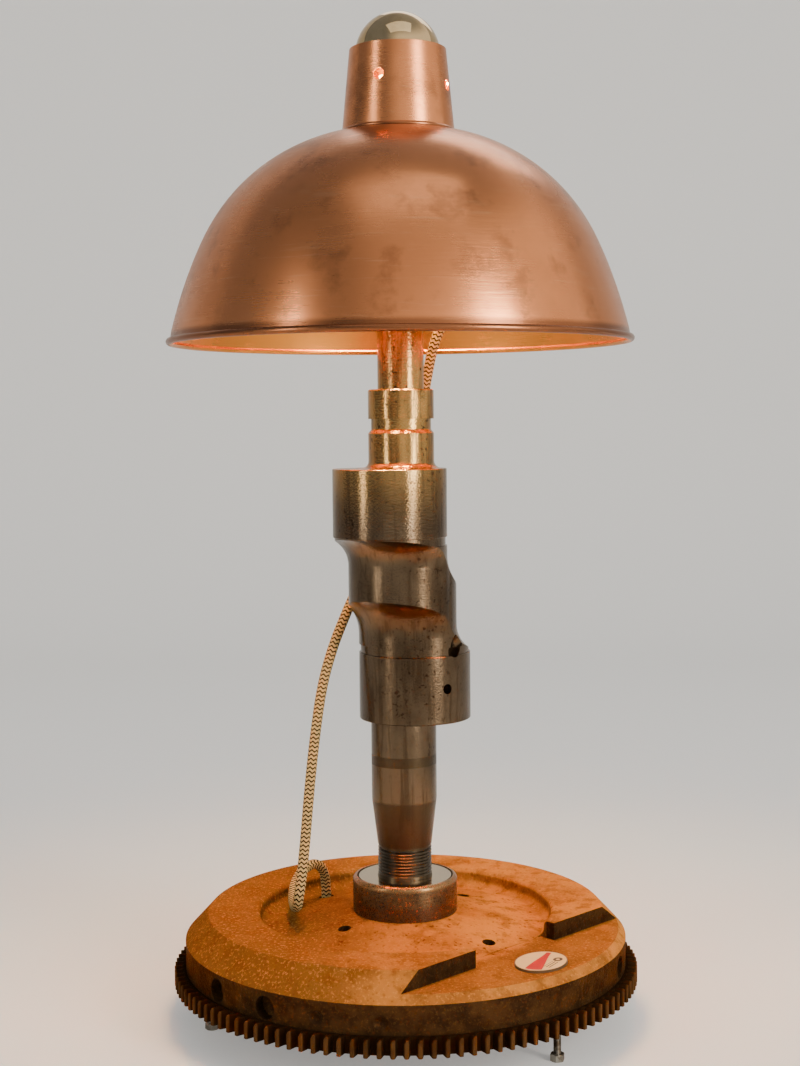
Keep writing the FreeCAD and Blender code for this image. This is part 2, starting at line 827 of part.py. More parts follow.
def lobe_steps(bottom):
    """A rotor journal with its edges broken."""
    top = bottom + size.lobe_length
    edge = size.lobe_radius - size.lobe_chamfer
    return [
        (NOTHING, bottom),
        (edge, bottom),
        (size.lobe_radius, bottom + size.lobe_chamfer),
        (size.lobe_radius, top - size.lobe_chamfer),
        (edge, top),
        (NOTHING, top),
    ]


def web_cut_steps(face, outward, reach):
    """What turning about a lobe's own axis takes off the web beside the lobe."""
    beyond = reach + size.eccentricity * 2
    inside = face - size.lobe_length * (outward * 0.6)
    relief_end = face + size.relief_length * outward
    neck_end = face + size.neck_length * outward
    curve_end = neck_end + size.neck_fillet * outward
    return [
        (beyond, inside),
        (size.relief_radius, inside),
        (size.relief_radius, relief_end),
        (size.neck_radius, relief_end),
        (size.neck_radius, neck_end),
        (size.neck_radius + size.neck_fillet, curve_end, size.neck_fillet, -outward),
        (beyond, curve_end),
    ]


# Stem and lampholder

def stem():
    hex_part = hexagon("PlugHex", size.plug_hex_flats, size.plug_hex_height, z=snout_top)
    thread = cylinder("PlugThread", size.snout_bore_radius - size.plug_gap, size.plug_length,
                      z=snout_top - size.plug_length)
    bore = cylinder("PlugBore", size.stem_radius + size.plug_gap, size.plug_length + size.plug_hex_height,
                    z=snout_top - size.plug_length)
    keep(cut("StemPlug", fused("PlugBlank", hex_part, thread), bore), "stem_plug")

    nut_above = cap_floor + size.cap_wall
    stem_top = nut_above + size.stem_nut_height + size.stem_nut_height
    keep(ring("Stem", size.stem_radius, size.stem_bore_radius, snout_top - size.stem_sink, stem_top), "stem_tube")
    nuts = []
    for name, bottom in (("Lower", cap_floor - size.stem_nut_height), ("Upper", nut_above)):
        blank = hexagon(name + "StemNutBlank", size.stem_nut_flats, size.stem_nut_height, z=bottom)
        hole = cylinder(name + "StemNutBore", size.stem_radius + size.plug_gap, size.stem_nut_height, z=bottom)
        nuts.append(cut(name + "StemNut", blank, hole))
    keep(group("StemNuts", nuts), "stem_nuts")


def outlet_line():
    """Where the cord outlet's axis starts in the cap's wall, and the way it points."""
    level = heading(OUTLET_DIRECTION) * math.cos(math.radians(OUTLET_TILT))
    along = level - UP * math.sin(math.radians(OUTLET_TILT))
    inner = size.cap_radius.value - size.outlet_radius.value / 2
    middle = cap_floor.value + size.cap_height.value / 2
    return heading(OUTLET_DIRECTION) * inner + UP * middle, along


def lampholder():
    wall = size.cap_wall
    cap_steps = [
        (size.stem_radius + size.plug_gap, cap_floor),
        (size.cap_radius, cap_floor),
        (size.cap_radius, cap_top),
        (size.cap_radius - wall, cap_top),
        (size.cap_radius - wall, cap_floor + wall),
        (size.stem_radius + size.plug_gap, cap_floor + wall),
    ]
    start, along = outlet_line()
    outlet_hole = cylinder("OutletHole", size.outlet_radius, size.outlet_length)
    aim(outlet_hole, start - along * size.outlet_radius.value, along)
    keep(cut("HolderCap", turned("CapCup", cap_steps), outlet_hole), "holder_cap")

    bush = document.addObject("Part::Cone", "OutletBush")
    bind(bush, "Radius1", size.outlet_radius)
    bind(bush, "Radius2", size.outlet_mouth_radius)
    bind(bush, "Height", size.outlet_length)
    aim(bush, start, along)
    bush_bore = cylinder("OutletBore", size.cord_radius + size.cord_gap, size.outlet_length * 2)
    aim(bush_bore, start - along * (size.outlet_length.value / 2), along)
    keep(cut("CordOutlet", bush, bush_bore), "cord_outlet")

    bore = size.sleeve_radius - size.sleeve_wall
    sleeve_steps = [
        (bore, sleeve_bottom),
        (size.sleeve_radius, sleeve_bottom),
        (size.sleeve_radius, sleeve_top),
        (size.sleeve_lip_radius, sleeve_top),
        (size.sleeve_lip_radius, insert_top),
        (bore, insert_top),
    ]
    keep(turned("HolderSleeve", sleeve_steps), "holder_sleeve")

    insert_radius = bore - size.insert_gap
    insert_steps = [
        (size.contact_bore_radius, insert_bottom),
        (insert_radius, insert_bottom),
        (insert_radius, insert_top),
        (size.insert_bore_radius, insert_top),
        (size.insert_bore_radius, shell_seat),
        (size.contact_bore_radius, shell_seat),
    ]
    keep(turned("HolderInsert", insert_steps), "holder_insert")
    shell_radius = size.insert_bore_radius - size.shell_gap
    shell = ring("ScrewShell", shell_radius, shell_radius - size.shell_wall, shell_seat,
                 shell_seat + size.shell_height)
    keep(shell, "screw_shell")
    contact_steps = [
        (NOTHING, insert_bottom - size.contact_flange),
        (size.contact_flange_radius, insert_bottom - size.contact_flange),
        (size.contact_flange_radius, insert_bottom),
        (size.contact_radius, insert_bottom),
        (size.contact_radius, bulb_bottom),
        (NOTHING, bulb_bottom),
    ]
    keep(turned("CentreContact", contact_steps), "centre_contact")


def shade_carrier():
    inner = size.sleeve_radius + size.ring_gap
    lower = ring("LowerShadeRing", size.shade_ring_radius, inner, spider_seat - size.shade_ring_height, spider_seat)
    keep(lower, "lower_shade_ring")
    upper_seat = spider_seat + size.spider_thickness
    upper = ring("UpperShadeRing", size.shade_ring_radius, inner, upper_seat, upper_seat + size.shade_ring_height)
    keep(upper, "upper_shade_ring")

    rim_top = seam - size.sheet
    rim_inner = size.spider_rim_radius - size.spider_rim_width
    steps = [
        (inner, spider_seat),
        (size.spider_flange_radius, spider_seat),
        (rim_inner + size.spider_thickness, rim_top - size.spider_thickness),
        (size.spider_rim_radius, rim_top - size.spider_thickness),
        (size.spider_rim_radius, rim_top),
        (rim_inner, rim_top),
        (size.spider_flange_radius - size.spider_thickness, upper_seat),
        (inner, upper_seat),
    ]
    dish = turned("SpiderDish", steps)
    windows = []
    for index in range(SIZES["spider_arms"]):
        window = document.addObject("Part::Box", f"SpiderWindow{index}")
        bind(window, "Length", size.spider_rim_width)
        bind(window, "Width", size.spider_window_width)
        bind(window, "Height", seam - spider_seat)
        turn = FreeCAD.Rotation(UP, 360 / SIZES["spider_arms"] * index)
        corner = VECTOR(size.spider_flange_radius.value - 0.5, -size.spider_window_width.value / 2, 0)
        lift = UP * (spider_seat.value + size.spider_thickness.value * 2)
        window.Placement = FreeCAD.Placement(turn.multVec(corner) + lift, turn)
        windows.append(window)
    keep(cut("ShadeSpider", dish, *windows), "shade_spider")


# Shade

def shade():
    sheet = size.sheet
    shoulder = rim + size.dome_shoulder_rise
    skirt = rim + size.dome_skirt_rise
    inner_shoulder_radius = size.dome_shoulder_radius - sheet * SIZES["shoulder_outward"]
    inner_shoulder = shoulder - sheet * SIZES["shoulder_upward"]
    steps = [
        (size.lip_radius, seam - sheet),
        (size.seam_radius, seam - sheet),
        (inner_shoulder_radius, inner_shoulder, size.dome_crown_radius - sheet, -1),
        (size.dome_skirt_radius - sheet, skirt, size.dome_flank_radius - sheet, -1),
        (bead_centre_radius - sheet, rim + size.bead_radius / 2),
        (bead_centre_radius, rim + size.bead_radius / 2),
        (size.dome_skirt_radius, skirt),
        (size.dome_shoulder_radius, shoulder, size.dome_flank_radius, 1),
        (size.seam_radius, seam, size.dome_crown_radius, 1),
        (size.lip_radius, seam),
    ]
    spun = turned("DomeSheet", steps)
    bead = torus("RimBead", bead_centre_radius, size.bead_radius, rim)
    hollow = torus("RimHollow", bead_centre_radius, size.bead_bore, rim)
    keep(cut("ShadeDome", fused("DomeAndBead", spun, bead), hollow), "shade_dome")
    keep(torus("RimWire", bead_centre_radius, size.wire_radius, rim), "rim_wire")

    top = seam + size.neck_height
    foot_top = seam + size.neck_foot
    mouth_radius = size.bulb_radius + size.neck_bulb_gap
    neck_steps = [
        (size.seam_radius - sheet, seam),
        (size.seam_radius + size.neck_foot, seam),
        (size.seam_radius + size.neck_foot, foot_top),
        (size.seam_radius, foot_top + size.neck_foot),
        (mouth_radius + sheet, top),
        (mouth_radius, top),
        (size.seam_radius - sheet, foot_top + size.neck_foot),
    ]
    vents = []
    for index, drop in ((0, NOTHING), (1, size.vent_drop)):
        vent = cylinder(f"Vent{index}", size.vent_radius, size.seam_radius * 2.5)
        way = heading(VENT_DIRECTION + 90 * index)
        start = way * (-size.seam_radius.value * 1.25) + UP * (seam + size.vent_rise - drop).value
        vents.append(aim(vent, start, way))
    keep(cut("ShadeNeck", turned("NeckCone", neck_steps), *vents), "shade_neck")


def torus(label, radius, section, z):
    made = document.addObject("Part::Torus", label)
    bind(made, "Radius1", radius)
    bind(made, "Radius2", section)
    return set_place(made, z=z)


# Bulb

def bulb():
    wall = size.bulb_glass_wall
    centre = bulb_bottom + size.bulb_centre_height
    tangent = math.radians(size.bulb_tangent.value)
    joint_radius = size.bulb_radius * round(math.cos(tangent), 9)
    joint = centre - size.bulb_radius * round(math.sin(tangent), 9)
    inner_joint_radius = (size.bulb_radius - wall) * round(math.cos(tangent), 9)
    inner_joint = centre - (size.bulb_radius - wall) * round(math.sin(tangent), 9)
    neck = bulb_bottom + size.bulb_neck_height
    cap_end = bulb_bottom + size.bulb_cap_height
    root = bulb_bottom + size.bulb_root_height
    root_step = size.bulb_neck_radius - size.bulb_root_radius
    glass_steps = [
        (size.bulb_root_radius - wall, root),
        (size.bulb_root_radius, root),
        (size.bulb_root_radius, cap_end + size.shell_gap),
        (size.bulb_neck_radius, cap_end + size.shell_gap + root_step),
        (size.bulb_neck_radius, neck),
        (joint_radius, joint, size.bulb_cone_radius, -1),
        (size.bulb_radius, centre, size.bulb_radius, 1),
        (size.bulb_radius - wall, centre),
        (inner_joint_radius, inner_joint, size.bulb_radius - wall, -1),
        (size.bulb_neck_radius - wall, neck, size.bulb_cone_radius + wall, 1),
        (size.bulb_neck_radius - wall, cap_end + size.shell_gap + root_step),
        (size.bulb_root_radius - wall, cap_end + size.shell_gap),
    ]
    keep(turned("BulbGlass", glass_steps), "bulb_glass")
    crown_steps = [
        (size.bulb_radius, centre),
        (NOTHING, centre + size.bulb_radius, size.bulb_radius, 1),
        (NOTHING, centre + size.bulb_radius - wall),
        (size.bulb_radius - wall, centre, size.bulb_radius - wall, -1),
    ]
    keep(turned("BulbCrown", crown_steps), "bulb_mirror_crown")

    contact_top = bulb_bottom + size.bulb_contact_height
    keep(cylinder("BulbContact", size.bulb_contact_radius, size.bulb_contact_height, z=bulb_bottom), "bulb_contact")
    cap_start = bulb_bottom + size.bulb_cap_start
    insulator_steps = [
        (NOTHING, contact_top),
        (size.bulb_contact_radius, contact_top),
        (size.bulb_cap_radius - size.bulb_cap_wall, cap_start),
        (NOTHING, cap_start),
    ]
    keep(turned("BulbInsulator", insulator_steps), "bulb_insulator")
    valley = size.bulb_cap_radius - size.bulb_thread_depth
    inner = size.bulb_cap_radius - size.bulb_cap_wall
    cap_steps = [
        (inner - size.bulb_cap_wall, cap_start),
        (inner, cap_start),
    ]
    for turn in range(SIZES["bulb_thread_turns"]):
        low = cap_start + size.bulb_thread_pitch * (turn + 0.25)
        cap_steps += [
            (valley, low),
            (size.bulb_cap_radius, low + size.bulb_thread_pitch / 2),
        ]
    cap_steps += [
        (valley, cap_end),
        (inner, cap_end),
        (inner, cap_start + size.bulb_cap_wall),
        (inner - size.bulb_cap_wall, cap_start + size.bulb_cap_wall),
    ]
    keep(turned("BulbCap", cap_steps), "bulb_cap")

    flare_radius = size.bulb_root_radius - wall - size.shell_gap
    stem_top = root + size.bulb_stem_height
    stem_steps = [
        (NOTHING, root),
        (flare_radius, root),
        (flare_radius, root + size.bulb_contact_height),
        (size.bulb_stem_radius, root + size.bulb_stem_flare),
        (size.bulb_stem_radius, stem_top),
        (NOTHING, stem_top),
    ]
    keep(turned("BulbStem", stem_steps), "bulb_stem")
    filament_bottom = stem_top - size.filament_length
    filaments = []
    for index in range(SIZES["filament_count"]):
        way = heading(360 / SIZES["filament_count"] * index)
        x = size.filament_circle * round(way.x, 9)
        y = size.filament_circle * round(way.y, 9)
        filaments.append(cylinder(f"Filament{index}", size.filament_radius, size.filament_length, x, y,
                                  filament_bottom))
    keep(group("Filaments", filaments), "bulb_filaments")
    plate_radius = size.filament_circle + size.filament_radius
    plates = [
        ring("LowerFilamentPlate", plate_radius, size.bulb_stem_radius, filament_bottom - size.filament_plate,
             filament_bottom),
        ring("UpperFilamentPlate", plate_radius, NOTHING, stem_top, stem_top + size.filament_plate),
    ]
    keep(group("FilamentPlates", plates), "filament_carriers")


# Cord

UPPER_ROUTE = [
    (41.5, 7.3, 498.8),
    (45.5, 8.6, 489.0),
    (41.2, 9.8, 475.0),
    (33.2, 10.8, 462.0),
    (25.0, 12.8, 449.5),
    (20.7, 16.8, 436.0),
    (18.1, 21.5, 423.0),
    (15.2, 27.0, 407.0),
    (11.5, 33.0, 387.0),
    (5.0, 37.0, 364.0),
    (-4.0, 39.5, 340.0),
    (-12.8, 40.2, 316.0),
    (-21.6, 36.6, 296.0),
    (-30.2, 29.0, 279.5),
    (-37.8, 21.5, 263.0),
    (-46.6, 14.8, 242.0),
    (-54.0, 8.3, 216.5),
    (-58.7, 0.5, 184.0),
    (-62.3, -9.5, 150.0),
    (-65.0, -17.0, 117.0),
    (-67.1, -24.0, 96.0),
    (-68.8, -26.8, 85.0),
    (-70.3, -22.5, 76.5),
    (-72.5, -13.0, 73.0),
    (-75.0, 3.0, 75.0),
    (-74.5, 20.0, 80.5),
    (-69.5, 34.0, 86.0),
    (-62.5, 43.0, 87.5),
    (-57.2, 48.7, 82.5),
    (-55.3, 51.8, 74.0),
    (-55.0, 52.5, 65.0),
    (-55.0, 52.5, 58.0),
]

LOWER_ROUTE = [
    (-55.0, 52.5, 58.0),
    (-55.0, 52.5, 47.0),
    (-55.1, 52.4, 35.0),
    (-55.0, 52.6, 22.5),
    (-56.2, 56.2, 12.6),
    (-58.8, 65.0, 6.4),
    (-62.0, 76.0, 4.0),
    (-67.0, 94.0, 3.7),
    (-76.0, 118.0, 3.7),
    (-87.0, 139.0, 3.7),
    (-96.0, 153.0, 5.0),
    (-100.0, 162.5, 8.4),
    (-100.0, 171.0, 9.3),
]

MIDDLE_ROUTE = [
    (-100.0, 235.0, 9.3),
    (-100.0, 243.0, 8.6),
    (-99.0, 254.0, 5.6),
    (-93.0, 267.0, 3.9),
    (-81.0, 279.0, 3.7),
    (-66.0, 286.5, 3.7),
    (-52.0, 288.0, 3.7),
    (-41.8, 288.0, 3.7),
]

TAIL_ROUTE = [
    (-28.2, 288.0, 11.1),
    (-18.0, 288.0, 11.1),
    (-2.0, 285.5, 8.0),
    (15.0, 279.5, 4.6),
    (29.5, 268.5, 4.2),
    (38.5, 257.0, 7.4),
    (42.6, 246.5, 14.0),
    (43.0, 237.5, 18.8),
    (43.0, 228.0, 18.8),
]


def cord_path(points):
    """Straight runs joined by tangent arcs, and the radii of the arcs."""
    edges = []
    radii = []
    start = points[0]
    for before, corner, after in zip(points, points[1:], points[2:]):
        into = corner - before
        out = after - corner
        half_turn = into.getAngle(out) / 2
        reach = 0.45 * min(into.Length, out.Length)
        into.normalize()
        out.normalize()
        arc_start = corner - into * reach
        arc_end = corner + out * reach
        bisector = (out - into).normalize()
        radius = reach / math.tan(half_turn)
        middle = corner + bisector * (radius / math.cos(half_turn) - radius)
        edges.append(Part.LineSegment(start, arc_start).toShape())
        edges.append(Part.Arc(arc_start, middle, arc_end).toShape())
        radii.append(radius)
        start = arc_end
    edges.append(Part.LineSegment(start, points[-1]).toShape())
    return Part.Wire(edges), radii


def swept(path, radius):
    """A round tube along a path."""
    first = path.OrderedEdges[0]
    begin = first.valueAt(first.FirstParameter)
    along = first.tangentAt(first.FirstParameter)
    section = Part.Wire(Part.makeCircle(radius, begin, along))
    return path.makePipeShell([section], True, False)


def cord_run(label, node, points):
    path, radii = cord_path([VECTOR(*point) for point in points])
    radius = size.cord_radius.value
    tube = swept(path, radius)
    expected = math.pi * radius ** 2 * path.Length
    print(node, "length", round(path.Length, 1), "volume", round(tube.Volume / expected, 4),
          "radii", [round(value, 1) for value in radii])
    run = document.addObject("Part::Feature", label)
    run.Shape = tube
    keep(run, node)
    return path.Length


def coil_edges():
    """Half turns that spiral in on the floor, climb in the middle one and spiral out on top."""
    step = size.coil_pitch.value / 2
    shrinking = [size.coil_outer_radius.value - step * turn for turn in range(SIZES["coil_half_turns"])]
    radii = shrinking + [shrinking[-1] - step] + shrinking[:0:-1]
    low = size.cord_radius.value + FLOOR_GAP
    high = low + size.coil_layer.value
    middle_x, middle_y = COIL_PLACE
    lead = size.cord_radius.value * 2
    place = VECTOR(middle_x, middle_y + radii[0], low)
    edges = [Part.LineSegment(place - VECTOR(lead, 0, 0), place).toShape()]
    for turn, radius in enumerate(radii):
        side = 1 if turn % 2 == 0 else -1
        rise = high - low if radius == min(radii) else 0.0
        end = place + VECTOR(0, -2 * radius * side, rise)
        bulge = (place + end) / 2 + VECTOR(side, 0, 0) * ((end - place).Length / 2)
        edges.append(Part.Arc(place, bulge, end).toShape())
        place = end
    edges.append(Part.LineSegment(place, place + VECTOR(lead, 0, 0)).toShape())
    return edges


def coil():
    path = Part.Wire(coil_edges())
    radius = size.cord_radius.value
    tube = swept(path, radius)
    expected = math.pi * radius ** 2 * path.Length
    print("cord_coil length", round(path.Length, 1), "volume", round(tube.Volume / expected, 4),
          "least gap", round(least_self_gap(path), 2))
    made = document.addObject("Part::Feature", "CordCoil")
    made.Shape = tube
    keep(made, "cord_coil")
    return path.Length


def least_self_gap(path):
    """The least gap between stretches of the coil more than a quarter turn apart, on points."""
    spacing = 3.0
    points = path.discretize(Distance=spacing)
    apart = int(math.pi * size.coil_outer_radius.value / 2 / spacing)
    least = min((points[one] - points[two]).Length
                for one in range(len(points)) for two in range(one + apart, len(points)))
    return least - 2 * size.cord_radius.value


def grommet():
    x, y = CORD_HOLE
    outer = size.cord_hole_radius - size.shell_gap
    inner = size.cord_radius + size.cord_gap * 3
    steps = [
        (inner, -size.grommet_flange_height),
        (outer + size.grommet_flange, -size.grommet_flange_height),
        (outer + size.grommet_flange, NOTHING),
        (outer, NOTHING),
        (outer, size.floor_height * 0.98),
        (inner, size.floor_height * 0.98),
    ]
    made = turned("Grommet", steps, under)
    set_place(made, Size(x, str(x)), Size(y, str(y)), under)
    keep(made, "cord_grommet")


# In-line switch, along its own Y axis

def oblong(label, width, length, height, z):
    """A bar with round ends, standing at z on the switch's place."""
    x, y = SWITCH_PLACE
    middle_x = Size(x, str(x))
    middle_y = Size(y, str(y))
    half = (length - width) / 2
    bar = block(label + "Bar", width, length - width, height, middle_x, middle_y, z)
    near = cylinder(label + "Near", width / 2, height, middle_x, middle_y - half, z)
    far = cylinder(label + "Far", width / 2, height, middle_x, middle_y + half, z)
    return fused(label, bar, near, far)


def inline_switch():
    x, y = SWITCH_PLACE
    middle_x = Size(x, str(x))
    middle_y = Size(y, str(y))
    bottom = Size(FLOOR_GAP, str(FLOOR_GAP))
    split = bottom + size.switch_half_height
    top = split + size.switch_half_height
    inner_width = size.switch_width - size.switch_wall * 2
    inner_height = size.switch_half_height - size.switch_wall
    inner_length = size.switch_cavity_length

    def cord_holes(name):
        way = cylinder(name + "CordWay", size.cord_radius + size.cord_gap, size.switch_length * 1.1)
        start = VECTOR(x, y - size.switch_length.value * 0.55, split.value)
        aim(way, start, VECTOR(0, 1, 0))
        clear = block(name + "Cavity", inner_width, inner_length, inner_height * 2, middle_x, middle_y,
                      split - inner_height)
        return [way, clear]

    def screw_holes(name, radius):
        half = size.switch_screw_spacing / 2
        offset = inner_width / 2 - size.switch_screw_head
        return [cylinder(f"{name}ScrewWay{index}", radius, size.switch_half_height * 1.6,
                         middle_x + offset * side, middle_y + half * side, bottom)
                for index, side in enumerate((-1, 1))]

    lower = cut("SwitchLower", oblong("SwitchLowerBlank", size.switch_width, size.switch_length,
                                      size.switch_half_height, bottom),
                *cord_holes("Lower"), *screw_holes("Lower", size.switch_screw_radius + size.shell_gap))
    keep(lower, "switch_lower_shell")

    window_width = size.rocker_width + size.rocker_gap * 2
    window_length = size.rocker_length + size.rocker_gap * 3
    window = block("RockerWindow", window_width, window_length, size.switch_half_height, middle_x, middle_y, split)
    pivot_height = top - size.switch_wall
    pin_reach = size.rocker_width + size.rocker_pin_bite * 2
    pin_ways = cylinder("PinWays", size.rocker_pin_radius + size.rocker_pin_gap,
                        pin_reach + size.rocker_gap * 2)
    aim(pin_ways, VECTOR(x - (pin_reach + size.rocker_gap * 2).value / 2, y, pivot_height.value), VECTOR(1, 0, 0))
    upper = cut("SwitchUpper", oblong("SwitchUpperBlank", size.switch_width, size.switch_length,
                                      size.switch_half_height, split),
                *cord_holes("Upper"), *screw_holes("Upper", size.switch_screw_radius + size.shell_gap),
                window, pin_ways)
    keep(upper, "switch_upper_shell")

    screws = []
    half = size.switch_screw_spacing / 2
    offset = inner_width / 2 - size.switch_screw_head
    for index, side in enumerate((-1, 1)):
        screws.append(cylinder(f"SwitchScrew{index}", size.switch_screw_radius, size.switch_half_height * 1.5,
                               middle_x + offset * side, middle_y + half * side, bottom))
    keep(group("SwitchScrews", screws), "switch_screws")

    terminals = []
    for index, side in enumerate((-1, 1)):
        place = inner_length / 2 - size.terminal_size
        terminals.append(block(f"Terminal{index}", size.terminal_size, size.terminal_size, size.terminal_size / 2,
                               middle_x, middle_y + place * side, bottom + size.switch_wall))
    keep(group("Terminals", terminals), "switch_terminals")
    rocker(x, y, pivot_height, pin_reach)


def rocker(x, y, pivot_height, pin_reach):
    """The rocker with its crowned top, its pin, and its lamp-on end pressed down."""
    half = size.rocker_length / 2
    low = -(size.rocker_height - size.switch_wall - size.rocker_crown)
    rest = size.switch_wall + size.rocker_crown
    body = document.addObject("PartDesign::Body", "RockerBody")
    sketch = new_sketch(body, "RockerSide", "YZ_Plane")
    steps = [
        (-half * 0.55, low),
        (half * 0.55, low),
        (half, -size.rocker_crown),
        (half, rest),
        (NOTHING, size.switch_wall),
        (-half, rest),
        (-half, -size.rocker_crown),
    ]
    outline(sketch, steps)
    pad = body.newObject("PartDesign::Pad", "RockerPad")
    pad.Profile = sketch
    pad.Midplane = True
    bind(pad, "Length", size.rocker_width)
    body.Tip = pad
    pin = cylinder("RockerPin", size.rocker_pin_radius, pin_reach)
    aim(pin, VECTOR(-pin_reach.value / 2, 0, 0), VECTOR(1, 0, 0))
    whole = fused("Rocker", body, pin)
    tilt = FreeCAD.Rotation(VECTOR(1, 0, 0), size.rocker_tilt.value)
    whole.Placement = FreeCAD.Placement(VECTOR(x, y, pivot_height.value), tilt)
    keep(whole, "switch_rocker")


# Plug, along its own Z axis from the cord to the pins

def mains_plug():
    x, y = PLUG_PLACE
    height = size.plug_face_radius.value + FLOOR_GAP
    way = FreeCAD.Placement(VECTOR(x, y, height), FreeCAD.Rotation(VECTOR(1, 0, 0), 90))
    grip = size.plug_tail_length + size.plug_grip_length
    face = grip + size.plug_face_length
    steps = [
        (NOTHING, NOTHING),
        (size.plug_tail_radius, NOTHING),
        (size.plug_tail_radius + size.plug_tail_spread, size.plug_tail_length),
        (size.plug_grip_radius, size.plug_tail_length),
        (size.plug_grip_radius, grip),
        (size.plug_face_radius, grip + size.plug_face_length / 4),
        (size.plug_face_radius, face),
        (NOTHING, face),
    ]
    shell = turned("PlugBlank", steps)
    slots = [block(f"EarthSlot{side}", size.earth_width, size.earth_thickness * 2, size.plug_face_length,
                   NOTHING, size.plug_face_radius * side, grip)
             for side in (-1, 1)]
    body = cut("PlugBody", shell, *slots)
    body.Placement = way
    keep(body, "plug_body")
    pins = [cylinder(f"Pin{side}", size.pin_radius, size.pin_length, size.pin_spacing / 2 * side, NOTHING, face)
            for side in (-1, 1)]
    pin_group = group("PlugPins", pins)
    pin_group.Placement = way
    keep(pin_group, "plug_pins")
    depth = size.plug_face_radius - size.earth_thickness * 0.5
    clips = [block(f"EarthClip{side}", size.earth_width, size.earth_thickness, size.plug_face_length * 0.9,
                   NOTHING, depth * side, grip)
             for side in (-1, 1)]
    clip_group = group("EarthClips", clips)
    clip_group.Placement = way
    keep(clip_group, "plug_earth_clips")


def cords():
    start, along = outlet_line()
    mouth = start + along * size.outlet_length.value
    upper = [tuple(mouth)] + UPPER_ROUTE
    total = cord_run("CordUpper", "cord_upper", upper)
    total += cord_run("CordLower", "cord_lower", LOWER_ROUTE)
    total += cord_run("CordMiddle", "cord_middle", MIDDLE_ROUTE)
    total += coil()
    total += cord_run("CordTail", "cord_tail", TAIL_ROUTE)
    print("cord in all", round(total, 1), "outlet mouth", [round(value, 2) for value in mouth])


def check_and_write():
    document.recompute()
    for item in document.Objects:
        if "Invalid" in item.State or "Error" in item.State:
            raise ValueError(f"{item.Label} did not compute")
    for item in nodes:
        if item.Shape.isNull() or not item.Shape.isValid():
            raise ValueError(f"{item.Label} has no valid shape")
    for item in nodes:
        item.Shape.exportStep(f"parts/{item.Label}.step")


flywheel_casting()
ring_gear()
feet()
hub_pieces()
badge()
eccentric_shaft()
stem()
lampholder()
shade_carrier()
shade()
bulb()
grommet()
inline_switch()
mains_plug()
cords()
check_and_write()
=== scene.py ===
import math

import bmesh
import bpy
from mathutils import Matrix, Vector, noise


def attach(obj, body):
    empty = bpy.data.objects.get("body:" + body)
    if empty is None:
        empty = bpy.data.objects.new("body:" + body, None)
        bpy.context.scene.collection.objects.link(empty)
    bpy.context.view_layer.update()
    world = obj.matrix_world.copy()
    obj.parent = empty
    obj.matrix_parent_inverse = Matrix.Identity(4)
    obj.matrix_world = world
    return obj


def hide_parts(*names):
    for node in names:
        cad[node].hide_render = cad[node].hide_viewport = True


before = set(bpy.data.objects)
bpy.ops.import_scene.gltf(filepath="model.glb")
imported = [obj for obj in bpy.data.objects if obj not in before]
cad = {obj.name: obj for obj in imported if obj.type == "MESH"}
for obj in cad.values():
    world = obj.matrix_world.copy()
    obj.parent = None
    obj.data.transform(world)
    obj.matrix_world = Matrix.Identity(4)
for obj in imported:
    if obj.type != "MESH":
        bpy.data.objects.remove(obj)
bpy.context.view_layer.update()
scene = bpy.context.scene

MM = 0.001


# Camera. The photograph was taken a little over a metre in front of the lamp, at the height of the
# lower half of the column, on a long lens tipped down a few degrees.

PICTURE_HEIGHT = 1066
FOCAL_PIXELS = 1633.4
CAMERA_PLACE = Vector((0.0, -1067.1, 386.5)) * MM
CAMERA_PITCH = 0.0643
CAMERA_ROLL = 0.0092
CAMERA_YAW = 0.0012

camera_data = bpy.data.cameras.new("Camera")
camera_data.sensor_width = 36.0
camera_data.lens = camera_data.sensor_width * FOCAL_PIXELS / PICTURE_HEIGHT
camera_data.clip_start = 0.05
camera = bpy.data.objects.new("Camera", camera_data)
aim = Matrix.Rotation(CAMERA_YAW, 4, "Z") @ Matrix.Rotation(math.pi / 2 - CAMERA_PITCH, 4, "X")
camera.matrix_world = Matrix.Translation(CAMERA_PLACE) @ aim @ Matrix.Rotation(-CAMERA_ROLL, 4, "Z")
scene.collection.objects.link(camera)
scene.camera = camera


# Cord. A round two-core flex, 6.8 mm thick, in a black and cream zig-zag braid. It leaves the
# lampholder's bush, winds once behind the column, folds over the hub, drops through the flywheel,
# and goes by way of an in-line switch and a put-away coil to the plug.

